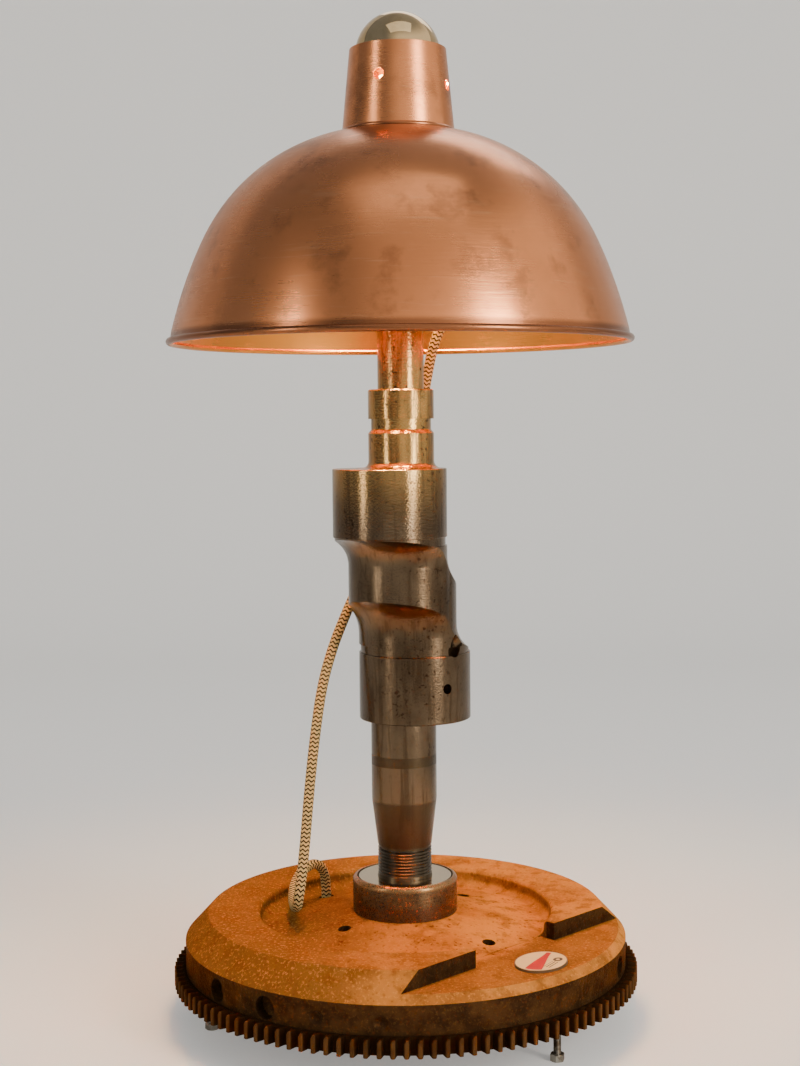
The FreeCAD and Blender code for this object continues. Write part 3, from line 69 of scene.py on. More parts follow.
CORD_RADIUS = 3.4 * MM
CORD_SIDES = 20
OUTLET_MOUTH = (32.15, 5.67, 508.36)
TO_SWITCH = (
    OUTLET_MOUTH,
    (41.5, 7.3, 498.8),
    (45.5, 8.6, 489.0),
    (41.2, 9.8, 475.0),
    (33.2, 10.8, 462.0),
    (25.0, 12.8, 449.5),
    (20.7, 16.8, 436.0),
    (18.1, 21.5, 423.0),
    (15.2, 27.0, 407.0),
    (11.5, 33.0, 387.0),
    (5.0, 37.0, 364.0),
    (-4.0, 39.5, 340.0),
    (-12.8, 40.2, 316.0),
    (-21.6, 36.6, 296.0),
    (-30.2, 29.0, 279.5),
    (-37.8, 21.5, 263.0),
    (-46.6, 14.8, 242.0),
    (-54.0, 8.3, 216.5),
    (-58.7, 0.5, 184.0),
    (-62.3, -9.5, 150.0),
    (-65.0, -17.0, 117.0),
    (-67.1, -24.0, 96.0),
    (-68.8, -26.8, 85.0),
    (-70.3, -22.5, 76.5),
    (-72.5, -13.0, 73.0),
    (-75.0, 3.0, 75.0),
    (-74.5, 20.0, 80.5),
    (-69.5, 34.0, 86.0),
    (-62.5, 43.0, 87.5),
    (-57.2, 48.7, 82.5),
    (-55.3, 51.8, 74.0),
    (-55.0, 52.5, 65.0),
    (-55.0, 52.5, 58.0),
    (-55.0, 52.5, 47.0),
    (-55.1, 52.4, 35.0),
    (-55.0, 52.6, 22.5),
    (-56.2, 56.2, 12.6),
    (-58.8, 65.0, 6.4),
    (-62.0, 76.0, 4.0),
    (-67.0, 94.0, 3.7),
    (-76.0, 118.0, 3.7),
    (-87.0, 139.0, 3.7),
    (-96.0, 153.0, 5.0),
    (-100.0, 162.5, 8.4),
    (-100.0, 171.0, 9.3),
)
TO_COIL = (
    (-100.0, 235.0, 9.3),
    (-100.0, 243.0, 8.6),
    (-99.0, 254.0, 5.6),
    (-93.0, 267.0, 3.9),
    (-81.0, 279.0, 3.7),
    (-66.0, 286.5, 3.7),
    (-52.0, 288.0, 3.7),
    (-41.8, 288.0, 3.7),
)
TO_PLUG = (
    (-28.2, 288.0, 11.1),
    (-18.0, 288.0, 11.1),
    (-2.0, 285.5, 8.0),
    (15.0, 279.5, 4.6),
    (29.5, 268.5, 4.2),
    (38.5, 257.0, 7.4),
    (42.6, 246.5, 14.0),
    (43.0, 237.5, 18.8),
    (43.0, 228.0, 18.8),
)
COIL_MIDDLE = (-35.0, 240.0)
COIL_RADIUS = 48.0
COIL_PITCH = 7.4
COIL_HALF_TURNS = 6
COIL_LOW = 3.7
COIL_HIGH = 11.1
POINTS_PER_HALF_TURN = 8


def coil_route():
    """The coil's points: in on the floor, a climb in the smallest half turn, and out on top."""
    step = COIL_PITCH / 2
    shrinking = [COIL_RADIUS - step * turn for turn in range(COIL_HALF_TURNS)]
    radii = shrinking + [shrinking[-1] - step] + shrinking[:0:-1]
    stretch = 1 / math.cos(math.pi / POINTS_PER_HALF_TURN / 2)
    points = []
    middle_x = COIL_MIDDLE[0]
    top = COIL_MIDDLE[1] + COIL_RADIUS
    low = COIL_LOW
    for turn, radius in enumerate(radii):
        side = 1 if turn % 2 == 0 else -1
        centre_y = top - radius * side
        rise = COIL_HIGH - COIL_LOW if radius == min(radii) else 0.0
        for index in range(POINTS_PER_HALF_TURN):
            share = (index + 0.5) / POINTS_PER_HALF_TURN
            angle = math.pi * share
            out = radius * stretch * math.sin(angle) * side
            along = radius * stretch * math.cos(angle) * side
            points.append((middle_x + out, centre_y + along, low + rise * share))
        low += rise
        top = centre_y - radius * side
    return points


def cord_line(points):
    """The smooth line through a route: a NURBS spline with the route's points as its control points."""
    curve = bpy.data.curves.new("CordLine", "CURVE")
    curve.dimensions = "3D"
    curve.resolution_u = 8
    spline = curve.splines.new("NURBS")
    spline.points.add(len(points) - 1)
    for slot, point in zip(spline.points, points):
        slot.co = (*(Vector(point) * MM), 1.0)
    spline.order_u = 3
    spline.use_endpoint_u = True
    holder = bpy.data.objects.new("CordLine", curve)
    scene.collection.objects.link(holder)
    line = bpy.data.meshes.new_from_object(holder)
    path = [vertex.co.copy() for vertex in line.vertices]
    bpy.data.objects.remove(holder)
    bpy.data.curves.remove(curve)
    bpy.data.meshes.remove(line)
    return path


def tube_along(name, path, radius, sides):
    """A closed tube round a path, with a UV map: once round in U, metres along in V."""
    shape = bmesh.new()
    uv = shape.loops.layers.uv.new("Braid")
    last = len(path) - 1
    tangents = [(path[min(i + 1, last)] - path[max(i - 1, 0)]).normalized() for i in range(len(path))]
    turns = [2 * math.pi * side / sides for side in range(sides)]
    across = tangents[0].orthogonal().normalized()
    rings = []
    lengths = [0.0]
    for index, (place, tangent) in enumerate(zip(path, tangents)):
        across = (across - tangent * across.dot(tangent)).normalized()
        other = tangent.cross(across)
        if index:
            lengths.append(lengths[-1] + (place - path[index - 1]).length)
        ways = [across * math.cos(turn) + other * math.sin(turn) for turn in turns]
        rings.append([shape.verts.new(place + way * radius) for way in ways])
    for index, (near, far) in enumerate(zip(rings, rings[1:])):
        for side in range(sides):
            following = (side + 1) % sides
            face = shape.faces.new((near[side], near[following], far[following], far[side]))
            face.smooth = True
            places = ((side, index), (side + 1, index), (side + 1, index + 1), (side, index + 1))
            for loop, (step, ring) in zip(face.loops, places):
                loop[uv].uv = (step / sides, lengths[ring])
    shape.faces.new(rings[0][::-1])
    shape.faces.new(rings[-1])
    mesh = bpy.data.meshes.new(name)
    shape.to_mesh(mesh)
    shape.free()
    made = bpy.data.objects.new(name, mesh)
    scene.collection.objects.link(made)
    return made, lengths[-1]


def set_inputs(tree, made, inputs):
    """Sets a node's inputs to values, or links them to sockets."""
    for key, value in dict(inputs).items():
        if isinstance(value, bpy.types.NodeSocket):
            tree.links.new(value, made.inputs[key])
        else:
            made.inputs[key].default_value = value


def add_node(tree, kind, inputs=(), **settings):
    """A shader node with its settings made and its inputs set."""
    made = tree.nodes.new(kind)
    for name, value in settings.items():
        setattr(made, name, value)
    set_inputs(tree, made, inputs)
    return made


def sum_up(tree, operation, *values):
    """One Math node's value."""
    return add_node(tree, "ShaderNodeMath", enumerate(values), operation=operation).outputs[0]


def multiply(tree, first, second):
    return sum_up(tree, "MULTIPLY", first, second)


def blend_colours(tree, share, first, second):
    return add_node(tree, "ShaderNodeMix", {0: share, 6: first, 7: second}, data_type="RGBA").outputs[2]


def fade(tree, value, low, high, out_low=0.0, out_high=1.0):
    """A value mapped smoothly from one span to another and held at its ends."""
    inputs = {0: value, 1: low, 2: high, 3: out_low, 4: out_high}
    return add_node(tree, "ShaderNodeMapRange", inputs, interpolation_type="SMOOTHSTEP").outputs[0]


def noise_value(tree, places, scale, detail, roughness=0.5, distortion=0.0):
    return add_node(tree, "ShaderNodeTexNoise", {
        "Vector": places, "Scale": scale, "Detail": detail, "Roughness": roughness, "Distortion": distortion,
    }).outputs[0]


def bump_from(tree, height, strength, distance):
    """The normal of a surface that a height raises by up to a distance in millimetres."""
    inputs = {"Height": height, "Strength": strength, "Distance": distance * MM}
    return add_node(tree, "ShaderNodeBump", inputs).outputs[0]


def new_finish(name):
    """A material with only its Principled shader, and that shader and its tree."""
    material = bpy.data.materials.new(name)
    material.use_nodes = True
    return material, material.node_tree, material.node_tree.nodes["Principled BSDF"]


def new_effect(name, inputs, outputs):
    """An empty shader node group with its named sockets, its input node and its output node."""
    group = bpy.data.node_groups.new(name, "ShaderNodeTree")
    for socket, value in inputs.items():
        kind = "NodeSocketVector" if value is None else "NodeSocketFloat"
        made = group.interface.new_socket(socket, in_out="INPUT", socket_type=kind)
        if value is not None:
            made.default_value = value
    for socket in outputs:
        group.interface.new_socket(socket, in_out="OUTPUT", socket_type="NodeSocketFloat")
    entry = group.nodes.new("NodeGroupInput").outputs
    leave = group.nodes.new("NodeGroupOutput").inputs
    return group, entry, leave


def place_effect(tree, group, **inputs):
    """A shader group in a material, with underscores for the spaces in its inputs' names."""
    values = {name.replace("_", " "): value for name, value in inputs.items()}
    return add_node(tree, "ShaderNodeGroup", values, node_tree=group).outputs


def give(piece, material):
    piece.data.materials.clear()
    piece.data.materials.append(material)
    return piece


CORD_CREAM = (0.74, 0.54, 0.22, 1)
CORD_SHADED_CREAM = (0.54, 0.38, 0.14, 1)
CORD_BLACK = (0.022, 0.016, 0.012, 1)
STRIPE_PITCH = 2.8 * MM
ZIGZAGS_AROUND = 6
YARNS_AROUND = 36
BRAID_RELIEF = 0.35


def braid_finish():
    """Cotton yarns that cross in rows, cream and black in zig-zag stripes."""
    material, tree, shader = new_finish("BraidedCotton")
    uv = add_node(tree, "ShaderNodeUVMap", uv_map="Braid")
    parts = add_node(tree, "ShaderNodeSeparateXYZ", {0: uv.outputs[0]})
    around, along = parts.outputs[0], parts.outputs[1]
    zigzag = sum_up(tree, "PINGPONG", multiply(tree, around, ZIGZAGS_AROUND * 2.0), 1.0)
    rows = sum_up(tree, "DIVIDE", along, STRIPE_PITCH)
    phase = sum_up(tree, "ADD", rows, multiply(tree, zigzag, 0.5))
    stripe = sum_up(tree, "PINGPONG", multiply(tree, phase, 2.0), 1.0)
    yarns = multiply(tree, around, float(YARNS_AROUND))
    yarn_places = add_node(tree, "ShaderNodeCombineXYZ", {0: yarns, 1: multiply(tree, rows, 3.0)})
    fluff = noise_value(tree, yarn_places.outputs[0], 1.0, 3.0)
    cream = blend_colours(tree, fluff, CORD_SHADED_CREAM, CORD_CREAM)
    ridge = sum_up(tree, "PINGPONG", sum_up(tree, "ADD", yarns, rows), 0.5)
    rib = sum_up(tree, "PINGPONG", multiply(tree, phase, 4.0), 1.0)
    height = sum_up(tree, "ADD", ridge, multiply(tree, rib, 0.6))
    set_inputs(tree, shader, {
        "Base Color": blend_colours(tree, fade(tree, stripe, 0.52, 0.64), cream, CORD_BLACK),
        "Roughness": 0.9,
        "Specular IOR Level": 0.1,
        "Normal": bump_from(tree, height, 0.7, BRAID_RELIEF),
    })
    return material


braid = braid_finish()
upper_path = cord_line(TO_SWITCH)
upper_cord, upper_length = tube_along("CordToSwitch", upper_path, CORD_RADIUS, CORD_SIDES)
give(upper_cord, braid)
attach(upper_cord, "lamp")
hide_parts("cord_upper", "cord_lower")

lower_path = cord_line(list(TO_COIL) + coil_route() + list(TO_PLUG))
lower_cord, lower_length = tube_along("CordToPlug", lower_path, CORD_RADIUS, CORD_SIDES)
give(lower_cord, braid)
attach(lower_cord, "lamp")
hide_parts("cord_middle", "cord_coil", "cord_tail")


# Studio. A pale floor that sweeps up behind the lamp; a large soft light from the right of the camera, a
# narrow one from its left and two weak ones from above; and the bulb's own warm light in the shade.

FLOOR_COLOUR = (0.80, 0.79, 0.77, 1)
PAPER_GLOW = 0.30
SWEEP_BACK = 1.6
SWEEP_BEND = 0.8
SWEEP_SIDE = 8.0
SWEEP_TOP = 4.0
BEND_STEPS = 12


def sweep():
    """Floor and backdrop in one sheet with a round bend between them."""
    outline = [(-SWEEP_SIDE, 0.0), (SWEEP_BACK, 0.0)]
    for step in range(1, BEND_STEPS + 1):
        angle = math.pi / 2 * step / BEND_STEPS
        outline.append((SWEEP_BACK + SWEEP_BEND * math.sin(angle), SWEEP_BEND * (1 - math.cos(angle))))
    outline.append((SWEEP_BACK + SWEEP_BEND, SWEEP_TOP))
    vertices = [(side, y, z) for y, z in outline for side in (-SWEEP_SIDE, SWEEP_SIDE)]
    faces = [(2 * i, 2 * i + 1, 2 * i + 3, 2 * i + 2) for i in range(len(outline) - 1)]
    mesh = bpy.data.meshes.new("StudioSweep")
    mesh.from_pydata(vertices, [], faces)
    mesh.polygons.foreach_set("use_smooth", [True] * len(faces))
    made = bpy.data.objects.new("StudioSweep", mesh)
    scene.collection.objects.link(made)
    material, tree, shader = new_finish("StudioPaper")
    ray = add_node(tree, "ShaderNodeLightPath").outputs
    seen = sum_up(tree, "MAXIMUM", ray["Is Camera Ray"], ray["Is Transmission Ray"])
    set_inputs(tree, shader, {
        "Base Color": FLOOR_COLOUR,
        "Roughness": 0.9,
        "Emission Color": FLOOR_COLOUR,
        "Emission Strength": multiply(tree, seen, PAPER_GLOW),
    })
    give(made, material)


BULB_LIGHT = (1.0, 0.68, 0.28)
SHADE_GLOW = {"out": 0.047, "height": 0.556, "power": 2.2, "radius": 0.014}
NECK_GLOW = {"out": 0.0275, "height": 0.592, "power": 0.8, "radius": 0.006}
ROOM_DIM = (0.27, 0.295, 0.33, 1)
ROOM_LIT = (1.30, 1.22, 1.10, 1)
ROOM_STRENGTH = 0.78


def soft_light(name, place, aim, size, power, colour):
    """An oblong area light, turned towards a point at the height of its aim on the lamp's axis."""
    lamp = bpy.data.lights.new(name, "AREA")
    lamp.shape = "RECTANGLE"
    lamp.size, lamp.size_y = size
    lamp.energy = power
    lamp.color = colour
    holder = bpy.data.objects.new(name, lamp)
    way = Vector((0, 0, aim)) - Vector(place)
    holder.matrix_world = Matrix.Translation(place) @ way.to_track_quat("-Z", "Y").to_matrix().to_4x4()
    scene.collection.objects.link(holder)


def warm_light(name, turn, out, height, power, radius):
    """The bulb's own light, from a point beside it, because its glass would throw it back."""
    lamp = bpy.data.lights.new(name, "POINT")
    lamp.energy = power
    lamp.shadow_soft_size = radius
    lamp.color = BULB_LIGHT
    holder = bpy.data.objects.new(name, lamp)
    holder.location = (out * math.cos(turn), out * math.sin(turn), height)
    holder.visible_camera = False
    scene.collection.objects.link(holder)


sweep()
soft_light("KeyLight", (1.45, -1.35, 0.80), aim=0.32, size=(0.55, 1.55), power=30, colour=(1.0, 0.95, 0.88))
soft_light("StripLight", (-1.55, -1.15, 0.75), aim=0.32, size=(0.14, 1.5), power=9, colour=(1.0, 0.93, 0.82))
soft_light("TopLight", (0.1, -0.5, 1.9), aim=0.3, size=(1.2, 0.8), power=2.5, colour=(1.0, 0.96, 0.90))
soft_light("BackLight", (0.3, 1.2, 1.7), aim=0.4, size=(1.2, 0.6), power=4, colour=(1.0, 0.96, 0.92))
for quarter in range(4):
    quarter_turn = math.pi / 2 * quarter + math.pi / 4
    warm_light(f"ShadeGlow{quarter}", quarter_turn, **SHADE_GLOW)
    warm_light(f"NeckGlow{quarter}", quarter_turn, **NECK_GLOW)

# The room that the metal mirrors: dim to the left of the lamp and overhead, light low on its right.
world = bpy.data.worlds.new("Studio")
scene.world = world
world.use_nodes = True
room = world.node_tree
toward = add_node(room, "ShaderNodeTexCoord").outputs["Generated"]
directions = add_node(room, "ShaderNodeSeparateXYZ", {0: toward}).outputs
low_down = fade(room, directions[2], 0.58, 0.92, 1.0, 0.14)
lit = multiply(room, fade(room, directions[0], -0.50, 0.15), low_down)
set_inputs(room, room.nodes["Background"], {
    "Color": blend_colours(room, lit, ROOM_DIM, ROOM_LIT), "Strength": ROOM_STRENGTH})


# Shared effects. Stains and specks are what age leaves on the metal; turned lines are the marks of
# the lathe or the spinning tool round the lamp's axis; cast grain is the sand mould's skin.

def object_places(tree):
    """The places on a piece, their three parts, and the flat way out to them from the lamp's axis."""
    places = add_node(tree, "ShaderNodeTexCoord").outputs["Object"]
    parts = add_node(tree, "ShaderNodeSeparateXYZ", {0: places}).outputs
    flat = add_node(tree, "ShaderNodeCombineXYZ", {0: parts[0], 1: parts[1]}).outputs[0]
    return places, parts, flat


def vector_length(tree, vector):
    return add_node(tree, "ShaderNodeVectorMath", {0: vector}, operation="LENGTH").outputs["Value"]


def stains_effect():
    values = {"Stain Size": 0.03, "Speck Size": 0.002, "Shift": 0.0, "Stretch": 1.0}
    group, entry, leave = new_effect("StainsAndSpecks", values, ["Stain", "Speck"])
    places, parts, _ = object_places(group)
    drawn = add_node(group, "ShaderNodeCombineXYZ", {
        0: sum_up(group, "ADD", parts[0], entry["Shift"]),
        1: parts[1],
        2: sum_up(group, "DIVIDE", parts[2], entry["Stretch"]),
    }).outputs[0]
    large = sum_up(group, "DIVIDE", 1.0, entry["Stain Size"])
    fine = sum_up(group, "DIVIDE", 1.0, entry["Speck Size"])
    group.links.new(noise_value(group, drawn, large, 5.0, 0.6, 0.1), leave["Stain"])
    group.links.new(noise_value(group, places, fine, 2.0, 0.6), leave["Speck"])
    return group


def turned_lines_effect():
    group, entry, leave = new_effect("TurnedLines", {"Line Width": 0.0004, "Break Up": 3.0}, ["Line"])
    _, parts, flat = object_places(group)
    way = add_node(group, "ShaderNodeVectorMath", {0: flat}, operation="NORMALIZE").outputs[0]
    fine = sum_up(group, "DIVIDE", 1.0, entry["Line Width"])
    level = multiply(group, sum_up(group, "ADD", vector_length(group, flat), parts[2]), fine)
    round_way = add_node(group, "ShaderNodeVectorMath", {0: way, "Scale": entry["Break Up"]},
                         operation="SCALE").outputs[0]
    turn = add_node(group, "ShaderNodeSeparateXYZ", {0: round_way}).outputs
    line_place = add_node(group, "ShaderNodeCombineXYZ", {0: turn[0], 1: turn[1], 2: level}).outputs[0]
    group.links.new(noise_value(group, line_place, 1.0, 4.0, 0.6), leave["Line"])
    return group


def cast_grain_effect():
    group, entry, leave = new_effect("CastGrain", {"Grain Size": 0.0016}, ["Grain", "Pit"])
    places, _, _ = object_places(group)
    fine = sum_up(group, "DIVIDE", 1.0, entry["Grain Size"])
    cells = add_node(group, "ShaderNodeTexVoronoi", {"Vector": places, "Scale": multiply(group, fine, 0.6)},
                     feature="SMOOTH_F1")
    group.links.new(noise_value(group, places, fine, 5.0, 0.72), leave["Grain"])
    group.links.new(fade(group, cells.outputs["Distance"], 0.08, 0.42), leave["Pit"])
    return group


stains = stains_effect()
turned_lines = turned_lines_effect()
cast_grain = cast_grain_effect()


MERGE_DISTANCE = 0.002 * MM
BROKEN_EDGE_ANGLE = math.radians(30)


def stand_for(piece, node, body="lamp"):
    """Puts a piece in its body in the stead of a CAD piece, which it hides."""
    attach(piece, body)
    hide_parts(node)
    return piece


def softened(node, width, body="lamp"):
    """A copy of a CAD piece with its edges broken by a width in millimetres, which stands for it."""
    name = node.title().replace("_", "")
    mesh = cad[node].data.copy()
    made = bpy.data.objects.new(name, mesh)
    scene.collection.objects.link(made)
    shape = bmesh.new()
    shape.from_mesh(mesh)
    bmesh.ops.remove_doubles(shape, verts=shape.verts, dist=MERGE_DISTANCE)
    for face in shape.faces:
        face.smooth = True
    shape.to_mesh(mesh)
    shape.free()
    if mesh.has_custom_normals:
        mesh.attributes.remove(mesh.attributes["custom_normal"])
    bevel = made.modifiers.new("BrokenEdges", "BEVEL")
    bevel.width = width * MM
    bevel.segments = 2
    bevel.limit_method = "ANGLE"
    bevel.angle_limit = BROKEN_EDGE_ANGLE
    bevel.use_clamp_overlap = True
    bevel.harden_normals = True
    made.data = bpy.data.meshes.new_from_object(made.evaluated_get(bpy.context.evaluated_depsgraph_get()))
    made.data.name = name
    made.modifiers.clear()
    bpy.data.meshes.remove(mesh)
    return stand_for(made, node, body)


def mottled_finish(name, sizes, shift, span, colours, roughness, metallic):
    """A finish that its stains mottle between two colours and its specks between shiny and dull."""
    material, tree, shader = new_finish(name)
    marks = place_effect(tree, stains, Stain_Size=sizes[0], Speck_Size=sizes[1], Shift=shift)
    share = fade(tree, marks["Stain"], *span) if span else marks["Stain"]
    set_inputs(tree, shader, {
        "Base Color": blend_colours(tree, share, *colours),
        "Roughness": fade(tree, marks["Speck"], *roughness),
        "Metallic": metallic,
    })
    return material


# Feet. Three hexagon-headed bolts with rolled threads, screwed into the flywheel from below, and a lock
# nut on each under the casting; zinc plated, and dulled by handling.

FOOT_CIRCLE = 130.0
FOOT_FIRST_ANGLE = math.radians(-45)
FOOT_COUNT = 3
UNDERSIDE = 25.0
BOLT_TOP = 39.0
BOLT_RADIUS = 2.5
BOLT_FLATS = 8.0
BOLT_HEAD_HEIGHT = 4.6
FOOT_NUT_HEIGHT = 4.0
THREAD_PITCH = 0.8
THREAD_DEPTH = 0.42
HEXAGON_STEPS = 24
RINGS_PER_TURN = 4
HEXAGON_CORNER = 1.155
HEAD_CHAMFER = 0.35
SHARP_ANGLE = math.radians(32)


def skin(name, rings, looped=False):
    """A closed skin over rings of points in millimetres, from the first ring to the last or round again."""
    shape = bmesh.new()
    rows = [[shape.verts.new(Vector(point) * MM) for point in ring] for ring in rings]
    pairs = list(zip(rows, rows[1:]))
    if looped:
        pairs.append((rows[-1], rows[0]))
    else:
        shape.faces.new(rows[0][::-1])
        shape.faces.new(rows[-1])
    for near, far in pairs:
        for step in range(len(near)):
            following = (step + 1) % len(near)
            shape.faces.new((near[step], near[following], far[following], far[step]))
    bmesh.ops.recalc_face_normals(shape, faces=shape.faces)
    mesh = bpy.data.meshes.new(name)
    shape.to_mesh(mesh)
    shape.free()
    mesh.polygons.foreach_set("use_smooth", [True] * len(mesh.polygons))
    mesh.set_sharp_from_angle(angle=SHARP_ANGLE)
    made = bpy.data.objects.new(name, mesh)
    scene.collection.objects.link(made)
    return made


def hexagon_ring(flats, height, limit):
    """A hexagon's points, held inside a circle where its corners are turned off."""
    ring = []
    for step in range(HEXAGON_STEPS):
        angle = 2 * math.pi * step / HEXAGON_STEPS
        reach = flats / 2 / math.cos(angle % (math.pi / 3) - math.pi / 6)
        reach = min(reach, limit)
        ring.append((reach * math.cos(angle), reach * math.sin(angle), height))
    return ring


def thread_ring(radius, height):
    """One ring of a rolled thread, whose ridge climbs as it goes round."""
    ring = []
    for step in range(HEXAGON_STEPS):
        turn = step / HEXAGON_STEPS
        climb = (height / THREAD_PITCH - turn) % 1.0
        reach = radius - THREAD_DEPTH * abs(2 * climb - 1)
        angle = 2 * math.pi * turn
        ring.append((reach * math.cos(angle), reach * math.sin(angle), height))
    return ring


def hexagon_rings(flats, low, high, turned_off):
    """A hexagon head's or nut's rings, with its corners turned off at both ends."""
    corner = flats / 2 * HEXAGON_CORNER
    edge = corner - turned_off * 1.7
    return [hexagon_ring(flats, low, edge), hexagon_ring(flats, low + turned_off, corner),
            hexagon_ring(flats, high - turned_off, corner), hexagon_ring(flats, high, edge)]


def round_repeat_tree():
    """Copies its geometry to points evenly spaced on a circle, each copy turned to face outwards."""
    tree = bpy.data.node_groups.new("RepeatOnCircle", "GeometryNodeTree")
    sockets = (("Geometry", "NodeSocketGeometry"), ("Count", "NodeSocketInt"),
               ("Circle Radius", "NodeSocketFloat"), ("First Angle", "NodeSocketFloat"),
               ("Finish", "NodeSocketMaterial"))
    for name, kind in sockets:
        tree.interface.new_socket(name, in_out="INPUT", socket_type=kind)
    tree.interface.new_socket("Geometry", in_out="OUTPUT", socket_type="NodeSocketGeometry")
    entry = tree.nodes.new("NodeGroupInput").outputs
    leave = tree.nodes.new("NodeGroupOutput").inputs
    circle = add_node(tree, "GeometryNodeMeshCircle", {
        "Vertices": entry["Count"], "Radius": entry["Circle Radius"]})
    start = add_node(tree, "ShaderNodeCombineXYZ", {2: entry["First Angle"]}).outputs[0]
    placed = add_node(tree, "GeometryNodeTransform", {"Geometry": circle.outputs[0], "Rotation": start})
    share = sum_up(tree, "DIVIDE", add_node(tree, "GeometryNodeInputIndex").outputs[0], entry["Count"])
    angle = sum_up(tree, "ADD", multiply(tree, share, 2 * math.pi), entry["First Angle"])
    facing = add_node(tree, "ShaderNodeCombineXYZ", {2: angle}).outputs[0]
    copies = add_node(tree, "GeometryNodeInstanceOnPoints", {
        "Points": placed.outputs[0], "Instance": entry["Geometry"], "Rotation": facing})
    real = add_node(tree, "GeometryNodeRealizeInstances", {"Geometry": copies.outputs[0]})
    finished = add_node(tree, "GeometryNodeSetMaterial", {
        "Geometry": real.outputs[0], "Material": entry["Finish"]})
    tree.links.new(finished.outputs[0], leave["Geometry"])
    return tree


round_repeat = round_repeat_tree()


def repeat_round(piece, finish, count, radius, first_angle=0.0):
    """Turns one piece into its copies round a circle, as a plain mesh."""
    piece.data.materials.append(finish)
    modifier = piece.modifiers.new("RoundRepeat", "NODES")
    modifier.node_group = round_repeat
    values = {"Count": count, "Circle Radius": radius * MM, "First Angle": first_angle, "Finish": finish}
    for socket in round_repeat.interface.items_tree:
        if socket.in_out == "INPUT" and socket.name in values:
            modifier[socket.identifier] = values[socket.name]
    single = piece.data
    piece.data = bpy.data.meshes.new_from_object(piece.evaluated_get(bpy.context.evaluated_depsgraph_get()))
    piece.modifiers.clear()
    piece.data.name = piece.name
    bpy.data.meshes.remove(single)
    return piece


plated = mottled_finish("DulledZinc", sizes=(0.008, 0.0009), shift=2.0, span=(0.40, 0.66),
                        colours=((0.40, 0.38, 0.33, 1), (0.15, 0.11, 0.07, 1)),
                        roughness=(0.3, 0.7, 0.28, 0.50), metallic=0.9)
head = hexagon_rings(BOLT_FLATS, 0.0, BOLT_HEAD_HEIGHT, HEAD_CHAMFER)
thread_rings = int((BOLT_TOP - BOLT_HEAD_HEIGHT) / THREAD_PITCH * RINGS_PER_TURN)
shank = [thread_ring(BOLT_RADIUS, BOLT_HEAD_HEIGHT + THREAD_PITCH * ring / RINGS_PER_TURN)
         for ring in range(thread_rings + 1)]
foot_bolts = skin("FootBolts", head + shank)
stand_for(repeat_round(foot_bolts, plated, FOOT_COUNT, FOOT_CIRCLE, FOOT_FIRST_ANGLE), "foot_bolts")

bore_radius = BOLT_RADIUS + 0.1
nut_low = UNDERSIDE - FOOT_NUT_HEIGHT
nut = hexagon_rings(BOLT_FLATS, nut_low, UNDERSIDE, HEAD_CHAMFER)
nut += [hexagon_ring(BOLT_FLATS, UNDERSIDE, bore_radius), hexagon_ring(BOLT_FLATS, nut_low, bore_radius)]
foot_nuts = skin("FootLockNuts", nut, looped=True)
stand_for(repeat_round(foot_nuts, plated, FOOT_COUNT, FOOT_CIRCLE, FOOT_FIRST_ANGLE), "foot_lock_nuts")

for node, width in (("shaft_nut", 0.8), ("shaft_washer", 0.4)):
    give(softened(node, width), plated)
give(cad["switch_screws"], plated)


# Ring gear. The starter's ring of 120 teeth, shrunk onto the flywheel's lower edge. Each tooth is milled
# off at one upper end, where the starter's pinion slides in; dark with oil, rubbed at the tips.

GEAR_TEETH = 120
GEAR_TIP = 152.5
GEAR_ROOT = 146.875
GEAR_SEAT = 138.5
GEAR_LOW = 25.0
GEAR_HIGH = 36.0
TOOTH_TIP_HALF = 1.28
TOOTH_ROOT_HALF = 2.46
TOOTH_EDGE = 0.4
TOOTH_END_EDGE = 0.3
TOOTH_SINK = 0.8
BAND_EDGE = 0.4
LEAD_IN_WIDTH = 1.1
LEAD_IN_HEIGHT = 2.2
GEAR_BAND_STEPS = 240


def tooth_ring(height, inset, lead_in=0.0):
    """One level of a tooth on the X axis: from the band out to the tip and back."""
    tip = GEAR_TIP - inset
    root = GEAR_ROOT - TOOTH_SINK
    half = TOOTH_TIP_HALF - inset
    foot_half = TOOTH_ROOT_HALF - inset
    return [(root, lead_in - foot_half, height), (tip - TOOTH_EDGE, lead_in - half, height),
            (tip, lead_in - half + TOOTH_EDGE, height), (tip, half - TOOTH_EDGE, height),
            (tip - TOOTH_EDGE, half, height), (root, foot_half, height)]


def gear_finish():
    """Steel black with oil, and rubbed brown where the teeth are highest."""
    material, tree, shader = new_finish("OiledGearSteel")
    marks = place_effect(tree, stains, Stain_Size=0.018, Speck_Size=0.0016, Shift=5.0)
    _, _, flat = object_places(tree)
    tip = fade(tree, vector_length(tree, flat), 0.1508, 0.1524)
    worn = multiply(tree, tip, fade(tree, marks["Stain"], 0.30, 0.62, 0.45, 1.0))
    dark = blend_colours(tree, marks["Stain"], (0.013, 0.006, 0.002, 1), (0.030, 0.013, 0.004, 1))
    set_inputs(tree, shader, {
        "Base Color": blend_colours(tree, worn, dark, (0.090, 0.041, 0.014, 1)),
        "Roughness": fade(tree, marks["Speck"], 0.3, 0.7, 0.30, 0.50),
        "Metallic": 0.10,
        "Specular IOR Level": 0.0,
        "Specular Tint": (0.40, 0.22, 0.10, 1),
        "Normal": bump_from(tree, marks["Speck"], 0.35, 0.15),
    })
    return material


